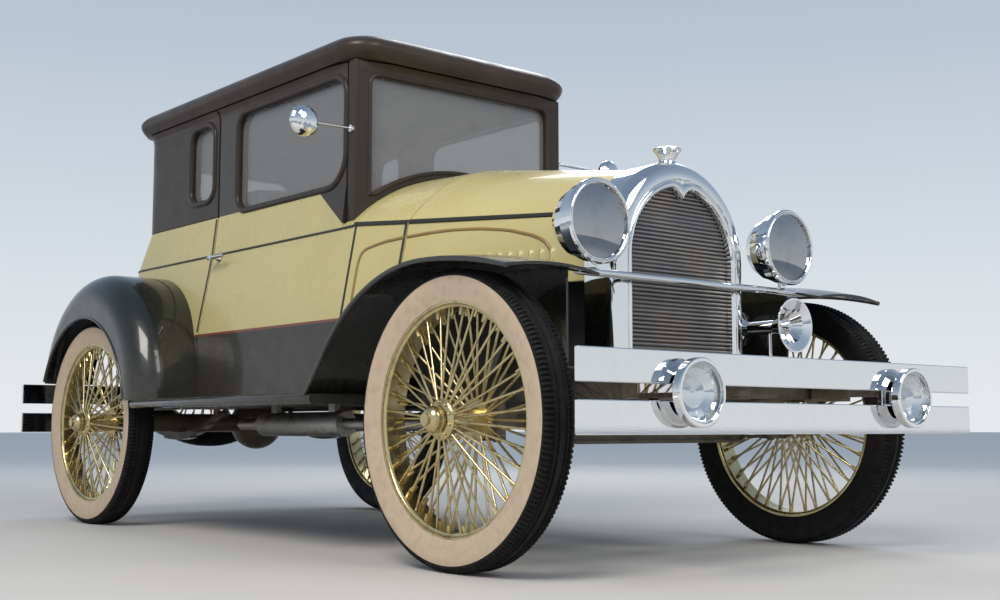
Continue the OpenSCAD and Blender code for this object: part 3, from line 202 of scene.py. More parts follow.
def turned(profile, centre, axis, count):
    """A profile of radius and distance along the axis, turned about an axis through the centre."""
    angle = np.linspace(0, 2 * np.pi, count, endpoint=False)[None, :]
    radius, along = profile[:, :1], profile[:, 1:]
    axis = unit(np.asarray(axis, float))
    first = unit(np.cross(axis, [0.31, 0.52, 0.79]))
    second = np.cross(axis, first)
    ring = radius[..., None] * (np.cos(angle)[..., None] * first + np.sin(angle)[..., None] * second)
    return grid(np.asarray(centre) + ring + along[..., None] * axis, wrap_columns=True)


def rounded_loop(half_w, half_h, radius, count):
    """Points round a rectangle with round corners, anticlockwise."""
    angle = np.linspace(0, np.pi / 2, count)
    starts = np.radians([0, 90, 180, 270])[:, None]
    signs = np.array([[1, 1], [-1, 1], [-1, -1], [1, -1]], float)
    middle = signs * [half_w - radius, half_h - radius]
    turn = starts + angle
    return (middle[:, None] + radius * np.stack([np.cos(turn), np.sin(turn)], -1)).reshape(-1, 2)


# Finishes


class Recipe:
    """One procedural material, built node by node on Object coordinates."""

    def __init__(self, name):
        self.material = bpy.data.materials.new(name)
        self.material.use_nodes = True
        self.tree = self.material.node_tree
        self.shader = self.tree.nodes["Principled BSDF"]
        self.place = self.add("ShaderNodeTexCoord").outputs["Object"]
        self.x, self.y, self.z = self.add("ShaderNodeSeparateXYZ", {0: self.place}).outputs

    def add(self, kind, sockets=None, **settings):
        """A new node with its settings made and its sockets filled."""
        node = self.tree.nodes.new(kind)
        for key, value in settings.items():
            setattr(node, key, value)
        for key, value in (sockets or {}).items():
            self.put(node.inputs[key], value)
        return node

    def put(self, socket, value):
        """Links a socket to another node's output, or sets its value."""
        if isinstance(value, bpy.types.NodeSocket):
            self.tree.links.new(value, socket)
        else:
            socket.default_value = value

    def noise(self, scale, detail=4.0, stretch=None):
        """Cloudy noise about one half, drawn out along the axes where a stretch is given."""
        place = self.place
        if stretch:
            place = self.add("ShaderNodeMapping", {"Vector": place, "Scale": stretch}).outputs[0]
        sockets = {"Vector": place, "Scale": scale, "Detail": detail}
        return self.add("ShaderNodeTexNoise", sockets).outputs["Fac"]

    def cells(self, scale):
        """Distance from the nearest of many scattered points."""
        sockets = {"Vector": self.place, "Scale": scale}
        return self.add("ShaderNodeTexVoronoi", sockets).outputs["Distance"]

    def math(self, kind, first, second=0.0):
        """One sum on two values."""
        return self.add("ShaderNodeMath", {0: first, 1: second}, operation=kind).outputs[0]

    def span(self, value, low, high, start, end):
        """A value between low and high brought to lie between start and end."""
        sockets = {"Value": value, "From Min": low, "From Max": high, "To Min": start, "To Max": end}
        return self.add("ShaderNodeMapRange", sockets).outputs["Result"]

    def mix(self, share, first, second):
        """The first colour, with a share of the second."""
        return self.add("ShaderNodeMix", {0: share, 6: first, 7: second}, data_type="RGBA").outputs[2]

    def bump(self, height, strength, distance, normal=None):
        """A fine relief from a height, over another relief where one is given."""
        sockets = {"Height": height, "Strength": strength, "Distance": distance}
        if normal is not None:
            sockets["Normal"] = normal
        return self.add("ShaderNodeBump", sockets).outputs["Normal"]

    def finish(self, colour, roughness, normal=None, **constants):
        """Fills the shader; constants name its other sockets in small letters."""
        self.put(self.shader.inputs["Base Color"], colour)
        self.put(self.shader.inputs["Roughness"], roughness)
        if normal is not None:
            self.put(self.shader.inputs["Normal"], normal)
        for key, value in constants.items():
            self.shader.inputs[key.replace("_", " ").title().replace("Ior", "IOR")].default_value = value


def shade(colour, factor):
    """A colour made lighter or darker by a factor, opaque."""
    return tuple(min(1.0, factor * part) for part in colour[:3]) + (1.0,)


# Road dust, the height over which it thins out, and the painted shade inside a louvre's slot
DUST = (0.23, 0.18, 0.12, 1.0)
DUST_Z = (0.42, 0.85)
SLOT_SHADE = (0.012, 0.016, 0.010, 1.0)
# Clear coats
COAT = {"coat_weight": 0.35, "coat_roughness": 0.03, "specular_ior_level": 0.25}
DEEP_COAT = {"coat_weight": 0.7, "coat_roughness": 0.02, "specular_ior_level": 0.3}
THIN_COAT = {"coat_weight": 0.12, "coat_roughness": 0.08, "specular_ior_level": 0.2}
# Two-tone paint: the waist line's edges, the foot of the doors' dark top, and its wedge at the front
STRIPE_Z = (0.726, 0.735)
UPPER_Z = 1.197
WEDGE_Y = -0.024
WEDGE_SLOPE = 0.758


def patched(recipe, colour, darker, lighter):
    """A paint that varies a little from place to place."""
    patch = recipe.span(recipe.noise(2.3, 3.0), 0.3, 0.7, 0.0, 1.0)
    return recipe.mix(patch, shade(colour, darker), shade(colour, lighter))


def coach_finish(recipe, colour, dust, rough, coat):
    """Glossy coach enamel over a colour: faint waves, an uneven polish, and road dust low down."""
    low = recipe.span(recipe.z, *DUST_Z, dust, 0.0)
    dusty = recipe.math("MULTIPLY", low, recipe.noise(19.0, 6.0))
    waves = recipe.bump(recipe.noise(3.0, 1.0), 0.02, 0.004)
    roughness = recipe.span(recipe.noise(14.0, 4.0), 0.35, 0.65, *rough)
    recipe.finish(recipe.mix(dusty, colour, DUST), roughness, waves, **coat)


def enamel(name, colour, dust=0.0, rough=(0.22, 0.34), coat=COAT):
    """Coach enamel of one colour."""
    recipe = Recipe(name)
    coach_finish(recipe, patched(recipe, colour, 0.93, 1.06), dust, rough, coat)


def body_enamel(name, colours, dark_top):
    """Two-tone coach enamel: dark up to the waist, a thin red line, cream above it, painted shade in the
    louvres' slots, and dark again over the doors' belt."""
    recipe = Recipe(name)
    cream = patched(recipe, colours.cream, 0.95, 1.04)
    over_dark, over_line = (recipe.math("GREATER_THAN", recipe.z, level) for level in STRIPE_Z)
    colour = recipe.mix(over_dark, tuple(colours.lower), recipe.mix(over_line, tuple(colours.stripe), cream))
    # Painted shade: the louvres' slots are coloured near black, standing for the shaded opening behind each
    # louvre's edge
    slot = recipe.add("ShaderNodeAttribute", attribute_name="slot").outputs["Fac"]
    colour = recipe.mix(slot, colour, SLOT_SHADE)
    if dark_top:
        ahead = recipe.math("SUBTRACT", WEDGE_Y, recipe.y)
        wedge = recipe.math("MAXIMUM", recipe.math("MULTIPLY", ahead, WEDGE_SLOPE), 0.0)
        above = recipe.math("GREATER_THAN", recipe.math("ADD", recipe.z, wedge), UPPER_Z)
        over_belt = recipe.math("GREATER_THAN", recipe.z, BELT_Z)
        colour = recipe.mix(recipe.math("MULTIPLY", above, over_belt), colour, tuple(colours.cabin))
    coach_finish(recipe, colour, 0.16, (0.24, 0.36), COAT)


def plated(name, colour, rough, tarnish, amount):
    """Polished metal: smudges in the gloss, hair-fine polishing lines and a little tarnish."""
    recipe = Recipe(name)
    stain = recipe.span(recipe.noise(26.0, 7.0), 0.52, 0.78, 0.0, amount)
    roughness = recipe.span(recipe.noise(11.0, 6.0), 0.35, 0.7, *rough)
    lines = recipe.bump(recipe.noise(60.0, 3.0, (1.0, 1.0, 14.0)), 0.02, 0.0004)
    recipe.finish(recipe.mix(stain, shade(colour, 1.0), tarnish), roughness, lines, metallic=1.0)


def make_finishes(colours, pitch):
    """Makes every material once."""
    body_enamel("cream_enamel", colours, False)
    body_enamel("door_enamel", colours, True)
    enamel("fender_enamel", colours.fender, dust=0.2, coat=DEEP_COAT)
    enamel("cabin_enamel", colours.cabin, rough=(0.26, 0.38), coat=THIN_COAT)
    # Painted shade: the mouldings are near black, standing for the shaded gap along them
    enamel("moulding_enamel", colours.moulding)
    enamel("bead_enamel", (0.26, 0.17, 0.06))
    enamel("dial_enamel", (0.55, 0.52, 0.44))
    enamel("frame_enamel", (0.012, 0.012, 0.012), dust=0.7, rough=(0.35, 0.6))
    plated("chrome_plate", colours.chrome, (0.015, 0.045), (0.60, 0.58, 0.54, 1.0), 0.12)
    plated("lens_mirror", (0.37, 0.38, 0.40), (0.01, 0.03), (0.26, 0.25, 0.24, 1.0), 0.5)
    plated("brass_plate", colours.brass, (0.20, 0.38), (0.24, 0.18, 0.09, 1.0), 0.8)
    plated("worn_steel", (0.42, 0.41, 0.39), (0.25, 0.5), (0.14, 0.09, 0.05, 1.0), 0.7)
    roof_covering(colours)
    rubber(colours)
    core_finish(pitch)
    glass_finishes(colours)
    leather(colours)
    walnut()
    cast_iron()
    matting()


def roof_covering(colours):
    """Coated roof cloth: a fine grain under a worn gloss, paler where it is rubbed."""
    recipe = Recipe("roof_covering")
    grain = recipe.bump(recipe.cells(520.0), 0.03, 0.0006)
    waves = recipe.bump(recipe.noise(4.0, 2.0), 0.06, 0.006, grain)
    rubbed = recipe.span(recipe.noise(6.0, 7.0), 0.5, 0.75, 0.0, 0.5)
    colour = recipe.mix(rubbed, shade(colours.roof, 0.85), shade(colours.roof, 1.5))
    roughness = recipe.span(recipe.noise(15.0, 6.0), 0.3, 0.7, 0.30, 0.48)
    recipe.finish(colour, roughness, waves, coat_weight=0.12, coat_roughness=0.15, specular_ior_level=0.3)


def rubber(colours):
    """Tyre rubber: the point value wall paints the pale outer sidewall, scuffed and dusty, over black."""
    recipe = Recipe("tyre_rubber")
    wall = recipe.add("ShaderNodeAttribute", attribute_name="wall").outputs["Fac"]
    scuff = recipe.span(recipe.noise(38.0, 8.0), 0.45, 0.8, 0.0, 0.55)
    black = recipe.mix(scuff, (0.004, 0.004, 0.004, 1.0), (0.022, 0.018, 0.015, 1.0))
    pale = recipe.mix(scuff, tuple(colours.wall), shade(colours.wall, 0.62))
    edge = recipe.math("GREATER_THAN", wall, 0.5)
    fine = recipe.bump(recipe.noise(260.0, 3.0), 0.12, 0.0008)
    roughness = recipe.span(recipe.noise(24.0, 4.0), 0.3, 0.7, 0.5, 0.8)
    recipe.finish(recipe.mix(edge, black, pale), roughness, fine, specular_ior_level=0.25)


# Width of one cell of the radiator core
CORE_CELL = 0.009


def core_finish(pitch):
    """Radiator core: tinned strips pierced by rows of small cells, whose shade is painted as dark spots."""
    recipe = Recipe("core_metal")
    column = recipe.math("MULTIPLY", recipe.x, 1 / CORE_CELL)
    row = recipe.math("DIVIDE", recipe.math("SUBTRACT", recipe.z, SHELL_LOW_Z), pitch)
    place = recipe.add("ShaderNodeCombineXYZ", {0: column, 1: row}).outputs[0]
    sockets = {"Vector": place, "Scale": 1.0, "Randomness": 0.0}
    cells = recipe.add("ShaderNodeTexVoronoi", sockets, voronoi_dimensions="2D").outputs["Distance"]
    # Painted shade: each cell's opening is coloured near black
    cell_shade = recipe.span(cells, 0.26, 0.40, 1.0, 0.0)
    grime = recipe.span(recipe.noise(9.0, 6.0), 0.35, 0.7, 0.0, 1.0)
    strip = recipe.mix(grime, (0.30, 0.27, 0.24, 1.0), (0.20, 0.20, 0.21, 1.0))
    colour = recipe.mix(cell_shade, strip, (0.012, 0.011, 0.010, 1.0))
    roughness = recipe.span(recipe.noise(40.0), 0.3, 0.7, 0.3, 0.5)
    recipe.finish(colour, roughness, recipe.bump(cells, 0.4, 0.002), metallic=0.55)


def glass_finishes(colours):
    """Window glass, a thin sheet that lets light straight through under a grey film, patchy like dust, whose
    grey is painted reflection standing in for the pale sky seen in the glass, and clear lamp glass."""
    pane = Recipe("window_glass")
    film = pane.span(pane.noise(9.0, 7.0), 0.5, 0.85, 0.0, 1.0)
    # Painted reflection: the grey over the glass stands in for the sky's reflection; its patches vary like
    # dust
    grey = pane.mix(film, shade(colours.glass, 0.62), shade(colours.glass, 0.5))
    pane.finish(grey, 0.0, alpha=0.40, ior=2.2)
    Recipe("lamp_glass").finish((0.93, 0.95, 0.96, 1.0), 0.0, transmission_weight=1.0, ior=1.5)


def leather(colours):
    """Seat leather: pebbled grain, creases and a polish where it is sat on."""
    recipe = Recipe("seat_leather")
    pebble = recipe.bump(recipe.cells(330.0), 0.35, 0.001)
    normal = recipe.bump(recipe.noise(70.0, 8.0), 0.25, 0.002, pebble)
    worn = recipe.span(recipe.noise(7.0, 6.0), 0.4, 0.75, 0.0, 1.0)
    colour = recipe.mix(worn, shade(colours.leather, 0.8), shade(colours.leather, 1.5))
    recipe.finish(colour, recipe.span(worn, 0.0, 1.0, 0.55, 0.36), normal)


def walnut():
    """Oiled walnut: long wavy rings drawn out along the board."""
    recipe = Recipe("walnut")
    place = recipe.add("ShaderNodeMapping", {"Vector": recipe.place, "Scale": (1.2, 9.0, 9.0)}).outputs[0]
    sockets = {"Vector": place, "Scale": 3.2, "Distortion": 5.0, "Detail": 4.0, "Detail Scale": 1.6}
    rings = recipe.add("ShaderNodeTexWave", sockets, bands_direction="Z").outputs["Fac"]
    pores = recipe.noise(160.0, 3.0, (0.1, 1.0, 1.0))
    colour = recipe.mix(rings, (0.05, 0.022, 0.010, 1.0), (0.14, 0.066, 0.028, 1.0))
    roughness = recipe.span(pores, 0.3, 0.7, 0.22, 0.4)
    recipe.finish(colour, roughness, recipe.bump(pores, 0.08, 0.0006), coat_weight=0.4)


def cast_iron():
    """Engine castings: grey stove enamel on a sandy skin, oily in patches."""
    recipe = Recipe("cast_iron")
    sand = recipe.bump(recipe.noise(210.0, 4.0), 0.4, 0.0012)
    oil = recipe.span(recipe.noise(8.0, 6.0), 0.45, 0.7, 0.0, 1.0)
    colour = recipe.mix(oil, (0.055, 0.06, 0.055, 1.0), (0.014, 0.012, 0.010, 1.0))
    recipe.finish(colour, recipe.span(oil, 0.0, 1.0, 0.62, 0.28), sand, metallic=0.3)


def matting():
    """Floor felt and ribbed board rubber: dark, fibrous and dusty."""
    recipe = Recipe("floor_matting")
    fibre = recipe.noise(420.0, 4.0)
    dusty = recipe.span(recipe.noise(16.0, 7.0), 0.4, 0.8, 0.0, 0.35)
    colour = recipe.mix(dusty, (0.014, 0.014, 0.013, 1.0), DUST)
    recipe.finish(colour, recipe.span(fibre, 0.2, 0.8, 0.7, 0.9), recipe.bump(fibre, 0.4, 0.001))


# Finish of each solid that stays in view
NODE_FINISH = {
    "cream_enamel": ("cowl", "body_tub"),
    "door_enamel": ("door_right", "door_left"),
    "cabin_enamel": ("cabin_rear", "windscreen_frame"),
    "fender_enamel": ("front_fenders", "rear_fenders", "running_boards"),
    "chrome_plate": (
        "lamps", "tie_bar", "horn", "bumpers", "mirrors", "door_handle_right", "door_handle_left",
    ),
    "brass_plate": (
        "wheel_front_right", "wheel_front_left", "wheel_rear_right", "wheel_rear_left", "spare_wheel",
    ),
    "window_glass": ("window_glass", "door_glass_right", "door_glass_left"),
    "frame_enamel": (
        "frame_rails", "tow_eyes", "front_axle", "rear_axle", "springs", "spare_carrier", "knuckle_right",
        "knuckle_left", "steering_column",
    ),
    "cast_iron": ("engine_block",),
    "worn_steel": ("exhaust",),
    "walnut": ("dashboard", "steering_wheel"),
    "floor_matting": ("floor",),
}

# Solids whose edges are eased: bevel width
EASED = {
    "bumpers": 0.003, "running_boards": 0.004, "windscreen_frame": 0.005, "cabin_rear": 0.006,
    "door_right": 0.003, "door_left": 0.003,
}
# Faceted solids that are shaded as one smooth skin
SMOOTHED = ("cowl", "body_tub")


def weld(node):
    """Merges the corners that a solid's loose triangles share."""
    node.modifiers.new("merge", "WELD").merge_threshold = 0.00005


def ease_edges(node, width):
    """Rounds a solid's edges by a bevel on its merged corners."""
    weld(node)
    bevel = node.modifiers.new("ease", "BEVEL")
    bevel.width = width
    bevel.segments = 3
    bevel.limit_method = "ANGLE"
    bevel.angle_limit = np.radians(40.0)
    bevel.harden_normals = True


def smooth_skin(node):
    """Shades a faceted solid smoothly between its real edges."""
    weld(node)
    split = node.modifiers.new("edges", "EDGE_SPLIT")
    split.split_angle = np.radians(22.0)
    split.use_edge_sharp = False
    node.modifiers.new("smooth", "WEIGHTED_NORMAL")


# Settings


def colour_setting(name, text, value):
    """A colour in the sidebar."""
    return bpy.props.FloatVectorProperty(
        name=name, description=text, default=value + (1.0,), subtype="COLOR", size=4, min=0.0, max=1.0
    )


def length_setting(name, text, value, low, high):
    """A length in the sidebar, between two limits."""
    return bpy.props.FloatProperty(
        name=name, description=text, default=value, min=low, max=high, unit="LENGTH"
    )


class CoupeColours(bpy.types.PropertyGroup):
    """Colours that an owner might change."""

    cream: colour_setting("Cream", "Body enamel between the waist line and the belt", (0.52, 0.445, 0.20))
    lower: colour_setting("Lower body", "Body enamel below the waist line", (0.026, 0.025, 0.019))
    stripe: colour_setting("Stripe", "Thin line at the waist", (0.17, 0.045, 0.025))
    cabin: colour_setting("Cabin", "Upper cabin and window frames", (0.034, 0.026, 0.020))
    # The moulding colour is painted shade, near black for the shaded gap along the belt and crease mouldings
    moulding: colour_setting("Moulding", "Belt and hood mouldings", (0.028, 0.028, 0.022))
    roof: colour_setting("Roof", "Covering of the roof", (0.042, 0.027, 0.018))
    fender: colour_setting("Fenders", "Fenders and running boards", (0.012, 0.014, 0.012))
    chrome: colour_setting("Plating", "Radiator shell, lamps and bumpers", (0.80, 0.81, 0.82))
    brass: colour_setting("Wheels", "Rims, spokes and hubs", (0.60, 0.50, 0.27))
    wall: colour_setting("Sidewall", "Outer sidewall of the tyres", (0.54, 0.42, 0.30))
    # The window tint is the painted reflection grey laid over the glass
    glass: colour_setting("Glass", "Tint of the windows", (0.46, 0.45, 0.44))
    leather: colour_setting("Leather", "Seat covering", (0.085, 0.036, 0.018))


class CoupeSizes(bpy.types.PropertyGroup):
    """Sizes that an owner might change."""

    teeth: bpy.props.IntProperty(
        name="Tread teeth", description="Teeth round one tyre", default=180, min=60, max=240
    )
    tooth_deep: length_setting("Tooth depth", "Depth of the tread teeth", 0.006, 0.0, 0.012)
    moulding_w: length_setting("Moulding width", "Width of the belt mouldings", 0.016, 0.006, 0.03)
    louvre_out: length_setting("Louvre height", "How far the louvres stand out", 0.007, 0.0, 0.012)
    core_pitch: length_setting("Core pitch", "Spacing of the radiator strips", 0.012, 0.008, 0.03)


# Surfaces of this car


def arc(radius, turn, z):
    """Points of a circle on the centre plane about a height, turned from the top outwards."""
    return radius * np.stack([np.sin(turn), np.cos(turn)], -1) + [0, z]


def hood_sections(count_crown, count_side):
    """Half sections of the hood at its two ends, from the top line down: at the front an arch with upright
    sides, at the rear a flat crown arc, and from the crease a straight side that leans out."""
    share = np.linspace(0, 1, count_crown)[:-1]
    down = np.linspace(0, 1, count_side)
    front_crown = arc(ARCH_R, share * CREASE_ANGLE, ARCH_Z)
    rear_turn = share * np.arcsin(CREASE_X / HOOD_CROWN_R)
    rear_crown = arc(HOOD_CROWN_R, rear_turn, HOOD_REAR_Z - HOOD_CROWN_R)
    crease_z = ARCH_Z + ARCH_R * np.cos(CREASE_ANGLE)
    front_z = crease_z + (HOOD_LOW_Z - crease_z) * down
    front_x = np.sqrt(np.maximum(ARCH_R**2 - np.maximum(front_z - ARCH_Z, 0) ** 2, 0))
    rear_z = CREASE_Z + (HOOD_LOW_Z - CREASE_Z) * down
    rear_x = np.interp(rear_z, COWL_SIDE_Z, COWL_SIDE_X)
    front = np.concatenate([front_crown, np.stack([front_x, front_z], -1)])
    rear = np.concatenate([rear_crown, np.stack([rear_x, rear_z], -1)])
    return front, rear


def hood_point(along, z):
    """A point on the hood's left side at a share of the way to the cowl and at a height."""
    front_x = np.sqrt(ARCH_R**2 - np.clip(z - ARCH_Z, 0, ARCH_R * 0.9) ** 2)
    x = front_x + along * (np.interp(z, COWL_SIDE_Z, COWL_SIDE_X) - front_x)
    y = HOOD_Y0 + along * (HOOD_Y1 - HOOD_Y0)
    return np.stack([x, y, z], -1)


# Louvres: their number, the share of the hood and the heights that they fill, and their sloping ends
LOUVRES = 14
LOUVRE_SPAN = (0.14, 0.93)
LOUVRE_Z = (0.814, 0.906)
LOUVRE_END = 0.018
# Shares of one louvre's width: where its rise ends, where its drop ends, and where its slot of painted shade
# is
LOUVRE_RISE = 0.55
LOUVRE_DROP = 0.66
LOUVRE_SLOT = (0.50, 0.68)
SLOT_LEVEL = 0.35


def louvre_swell(along, z, out):
    """Height of the louvres over the hood's side, each rising slowly to its rear edge and dropping there, and
    where the slots behind those edges are, which are coloured with painted shade."""
    phase = (along - LOUVRE_SPAN[0]) / (LOUVRE_SPAN[1] - LOUVRE_SPAN[0]) * LOUVRES
    part = phase - np.floor(phase)
    inside = (phase >= 0) & (phase <= LOUVRES)
    drop = np.clip((LOUVRE_DROP - part) / (LOUVRE_DROP - LOUVRE_RISE), 0, 1)
    rise = np.where(part < LOUVRE_RISE, np.sin(part / LOUVRE_RISE * np.pi / 2) ** 2, drop)
    above = np.clip((z - LOUVRE_Z[0]) / LOUVRE_END, 0, 1)
    level = above * np.clip((LOUVRE_Z[1] - z) / LOUVRE_END, 0, 1)
    slot = inside * (part >= LOUVRE_SLOT[0]) * (part < LOUVRE_SLOT[1]) * (level > SLOT_LEVEL)
    return out * inside * rise * np.sin(level * np.pi / 2), slot


# Points over the hood's crown, down its side and along it, and its thickness
HOOD_POINTS = (30, 64)
HOOD_ROWS = 301
HOOD_PLATE = 0.006


def hood_skin(side, out):
    """The hood half: straight rulings from the front section to the rear one, swollen by the louvres."""
    front, rear = hood_sections(*HOOD_POINTS)
    along = np.linspace(0, 1, HOOD_ROWS)
    section = front[None] + along[:, None, None] * (rear - front)[None]
    swell, slot = louvre_swell(along[:, None], section[..., 1], out)
    x = np.maximum(section[..., 0], HOOD_GAP) + swell
    y = np.broadcast_to((HOOD_Y0 + along * (HOOD_Y1 - HOOD_Y0))[:, None], x.shape)
    points = np.stack([side * x, y, section[..., 1]], -1)
    return (points, slot) if side > 0 else (points[:, ::-1], slot[:, ::-1])


# Roof: its plan, the height and inset of its dome, the flare below its edge, and its lining
ROOF_X = box_face("roof", 0, 1)
ROOF_Y = (box_face("roof", 1, 0), box_face("roof", 1, 1))
CANT_Z = box_face("roof", 2, 0)
ROOF_RISE = 0.132
ROOF_INSET = 0.300
ROOF_TOP_INSETS = (0.36, 0.42, 0.48)
ROOF_FLARE = 0.020
ROOF_FLARE_H = 0.046
ROOF_CORNER_R = 0.112
ROOF_CORNER_POINTS = 14
LINING_INSET = 0.090
LINING_DRAW = 0.28
LINING_RISE = 0.102


def roof_ring(inset, z):
    """The roof's plan drawn in by an inset, at a height."""
    middle = (ROOF_Y[0] + ROOF_Y[1]) / 2
    half = (ROOF_Y[1] - ROOF_Y[0]) / 2
    radius = min(ROOF_CORNER_R, ROOF_X - inset - 0.002)
    loop = rounded_loop(ROOF_X - inset, half - inset, radius, ROOF_CORNER_POINTS)
    return np.column_stack([loop[:, 0], loop[:, 1] + middle, np.full(len(loop), z)])


def dome_rings(turns, inset, draw, z, rise):
    """Rings that rise as a sine while they draw in as one minus a cosine."""
    return [roof_ring(inset + draw * (1 - np.cos(a)), z + rise * np.sin(a)) for a in turns]


def roof_skin():
    """The roof: it flares out from the cabin as a quarter wave, turns over a round edge and rises as a dome.
    The lining below is a flatter dome."""
    flare = np.linspace(0, 1, 9)
    cove = [roof_ring(ROOF_FLARE * (1 - np.sin(a * np.pi / 2)), CANT_Z + ROOF_FLARE_H * a) for a in flare]
    turns = np.linspace(np.radians(6), np.pi / 2, 24)
    dome = dome_rings(turns, 0.0, ROOF_INSET, CANT_Z + ROOF_FLARE_H, ROOF_RISE - ROOF_FLARE_H)
    top = [roof_ring(inset, CANT_Z + ROOF_RISE) for inset in ROOF_TOP_INSETS]
    lining = dome_rings(np.linspace(np.pi / 2, 0, 12), LINING_INSET, LINING_DRAW, CANT_Z, LINING_RISE)
    inside = [np.broadcast_to(lining[0].mean(0), lining[0].shape)]
    centre = [np.broadcast_to(top[-1].mean(0), top[-1].shape)]
    return grid(np.stack(inside + lining + cove + dome + top + centre), wrap_columns=True)


# Half section of a tyre, as radius and distance from its middle plane: bead and wall, and the ribbed tread
TYRE_WALL = np.array([
    [0.3073, 0.0327], [0.3195, 0.0327], [0.3195, 0.0394], [0.3135, 0.0394], [0.3140, 0.0408],
    [0.3180, 0.0420], [0.335, 0.0462], [0.345, 0.0485], [0.361, 0.0515], [0.370, 0.0520],
    [0.3755, 0.0516], [0.3845, 0.0508], [0.390, 0.0490], [0.3945, 0.0460], [0.398, 0.0420],
])
TYRE_RIBS = np.array([
    [0.400, 0.036], [0.400, 0.0325], [0.3955, 0.0310], [0.3955, 0.0225], [0.400, 0.0210],
    [0.400, 0.0185], [0.3955, 0.0170], [0.3955, 0.0085], [0.400, 0.0070],
])
# The pale wall lies beyond a distance from the middle plane and within a radius
PALE_OUT = 0.0390
PALE_R = 0.3760
# The teeth are cut into the shoulder from a radius outwards, beyond a distance from the middle, and narrow it
TOOTH_R = 0.3860
TOOTH_RUN = 0.006
TOOTH_OUT = 0.0300
TOOTH_NARROW = 0.06
# One tooth: depth at each of its points, as a share
TOOTH = (0.0, 0.0, 1.0, 1.0)


def tyre_skin(centre, axis, teeth, deep):
    """A tyre turned about its axle: bead, bulged walls and a ribbed tread whose shoulders are cut into teeth.
    Also returns the share of pale wall at each point."""
    half = np.concatenate([TYRE_WALL, TYRE_RIBS])
    radius = np.concatenate([half[:, 0], half[::-1, 0]])[:, None]
    along = np.concatenate([half[:, 1], -half[::-1, 1]])[:, None]
    pale = np.concatenate([(half[:, 1] > PALE_OUT) & (half[:, 0] < PALE_R), np.zeros(len(half), bool)])
    cut = np.clip((half[:, 0] - TOOTH_R) / TOOTH_RUN, 0, 1) * (half[:, 1] > TOOTH_OUT)
    cut = np.concatenate([cut, cut[::-1]])[:, None] * np.tile(TOOTH, teeth)
    angle = np.linspace(0, 2 * np.pi, cut.shape[1], endpoint=False)[:, None]
    spread = np.cos(angle) * UP + np.sin(angle) * np.cross(axis, UP)
    ring = (radius - deep * cut)[..., None] * spread
    points = centre + ring + (along * (1 - TOOTH_NARROW * cut))[..., None] * axis
    return points, np.repeat(pale.astype(float), len(angle))


def wheel_places():
    """Each wheel's tyre solid, body, centre and outward axis, from the solids' own boxes."""
    rows = []
    for end in ("front", "rear"):
        for side, sign in SIDES:
            place = end + "_" + side
            rows.append(("tyre_" + place, "wheel_" + place, (sign, 0.0, 0.0)))
    rows.append(("spare_tyre", "chassis", REARWARD))
    for node, body, axis in rows:
        low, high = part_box(node)
        yield node, body, np.array((low + high) / 2), np.array(axis)


def side_piece(name, left, finish, slot, body, **options):
    """Makes a piece for both sides from the left one's sheets of quads, whose X changes sign for the right. A
    body's name that ends in a low line gets the side's name."""
    for side, sign in SIDES:
        parts = [(points * [sign, 1.0, 1.0], quads) for points, quads in left]
        carrier = body + side if body.endswith("_") else body
        piece(name + "_" + side, parts, finish, carrier, slot, **options)


def smooth_path(corners, count, width):
    """A path through corner points, stepped evenly and rounded by a moving mean."""
    corners = np.asarray(corners, float)
    steps = np.concatenate([[0], np.cumsum(np.linalg.norm(np.diff(corners, axis=0), axis=1))])
    even = np.linspace(0, steps[-1], count)
    path = np.stack([np.interp(even, steps, corners[:, k]) for k in range(corners.shape[1])], -1)
    padded = np.concatenate([2 * path[:1] - path[width:0:-1], path, 2 * path[-1:] - path[-2:-width - 2:-1]])
    kernel = np.ones(2 * width + 1) / (2 * width + 1)
    return np.stack([np.convolve(padded[:, k], kernel, "valid") for k in range(path.shape[1])], -1)


# Points round one corner of a window
CORNER_POINTS = 12


def corner_loop(low, high, radii):
    """Points round a rectangle whose four corners have their own radii: low-low, high-low, high-high and
    low-high."""
    signs = ((0, 0, 180), (1, 0, 270), (1, 1, 0), (0, 1, 90))
    runs = []
    for (a, b, start), radius in zip(signs, radii):
        turn = np.radians(start + np.linspace(0, 90, CORNER_POINTS))
        middle_a = high[0] - radius if a else low[0] + radius
        middle_b = high[1] - radius if b else low[1] + radius
        runs.append([middle_a, middle_b] + radius * np.stack([np.cos(turn), np.sin(turn)], -1))
    return np.concatenate(runs)


# Roll of a window surround: across the frame, away from the opening, and outwards
SURROUND = np.array([
    [0.020, -0.002], [0.0195, 0.003], [0.016, 0.0065], [0.010, 0.008], [0.004, 0.0075],
    [-0.001, 0.005], [-0.004, 0.0], [-0.005, -0.010], [-0.001, -0.012], [0.004, -0.003],
])
# Share of the roll's width and height that the windscreen has
SCREEN_ROLL = (0.6, 0.7)
# Windows: low corner, high corner and the radii of the corners
DOOR_WINDOW = ((-0.1875, 1.206), (0.5525, 1.575), (0.110, 0.062, 0.062, 0.062))
QUARTER_WINDOW = ((0.7495, 1.278), (0.9395, 1.575), (0.056, 0.056, 0.056, 0.056))
REAR_WINDOW = ((-0.26, 1.285), (0.26, 1.515), (0.056, 0.056, 0.056, 0.056))
# Windscreen opening: half width, top and its corners, and the arc over the cowl
SCREEN_HALF = 0.401
SCREEN_TOP_Z = 1.579
SCREEN_CORNER_R = 0.036
SCREEN_ARC_R = 0.697
SCREEN_ARC_Z = 0.591


def side_surround(window):
    """The roll carried round a window in the left side."""
    loop = corner_loop(*window)
    path = np.column_stack([np.full(len(loop), CABIN_X), loop])
    return [swept(path, LEFTWARD, SURROUND, closed=True)]


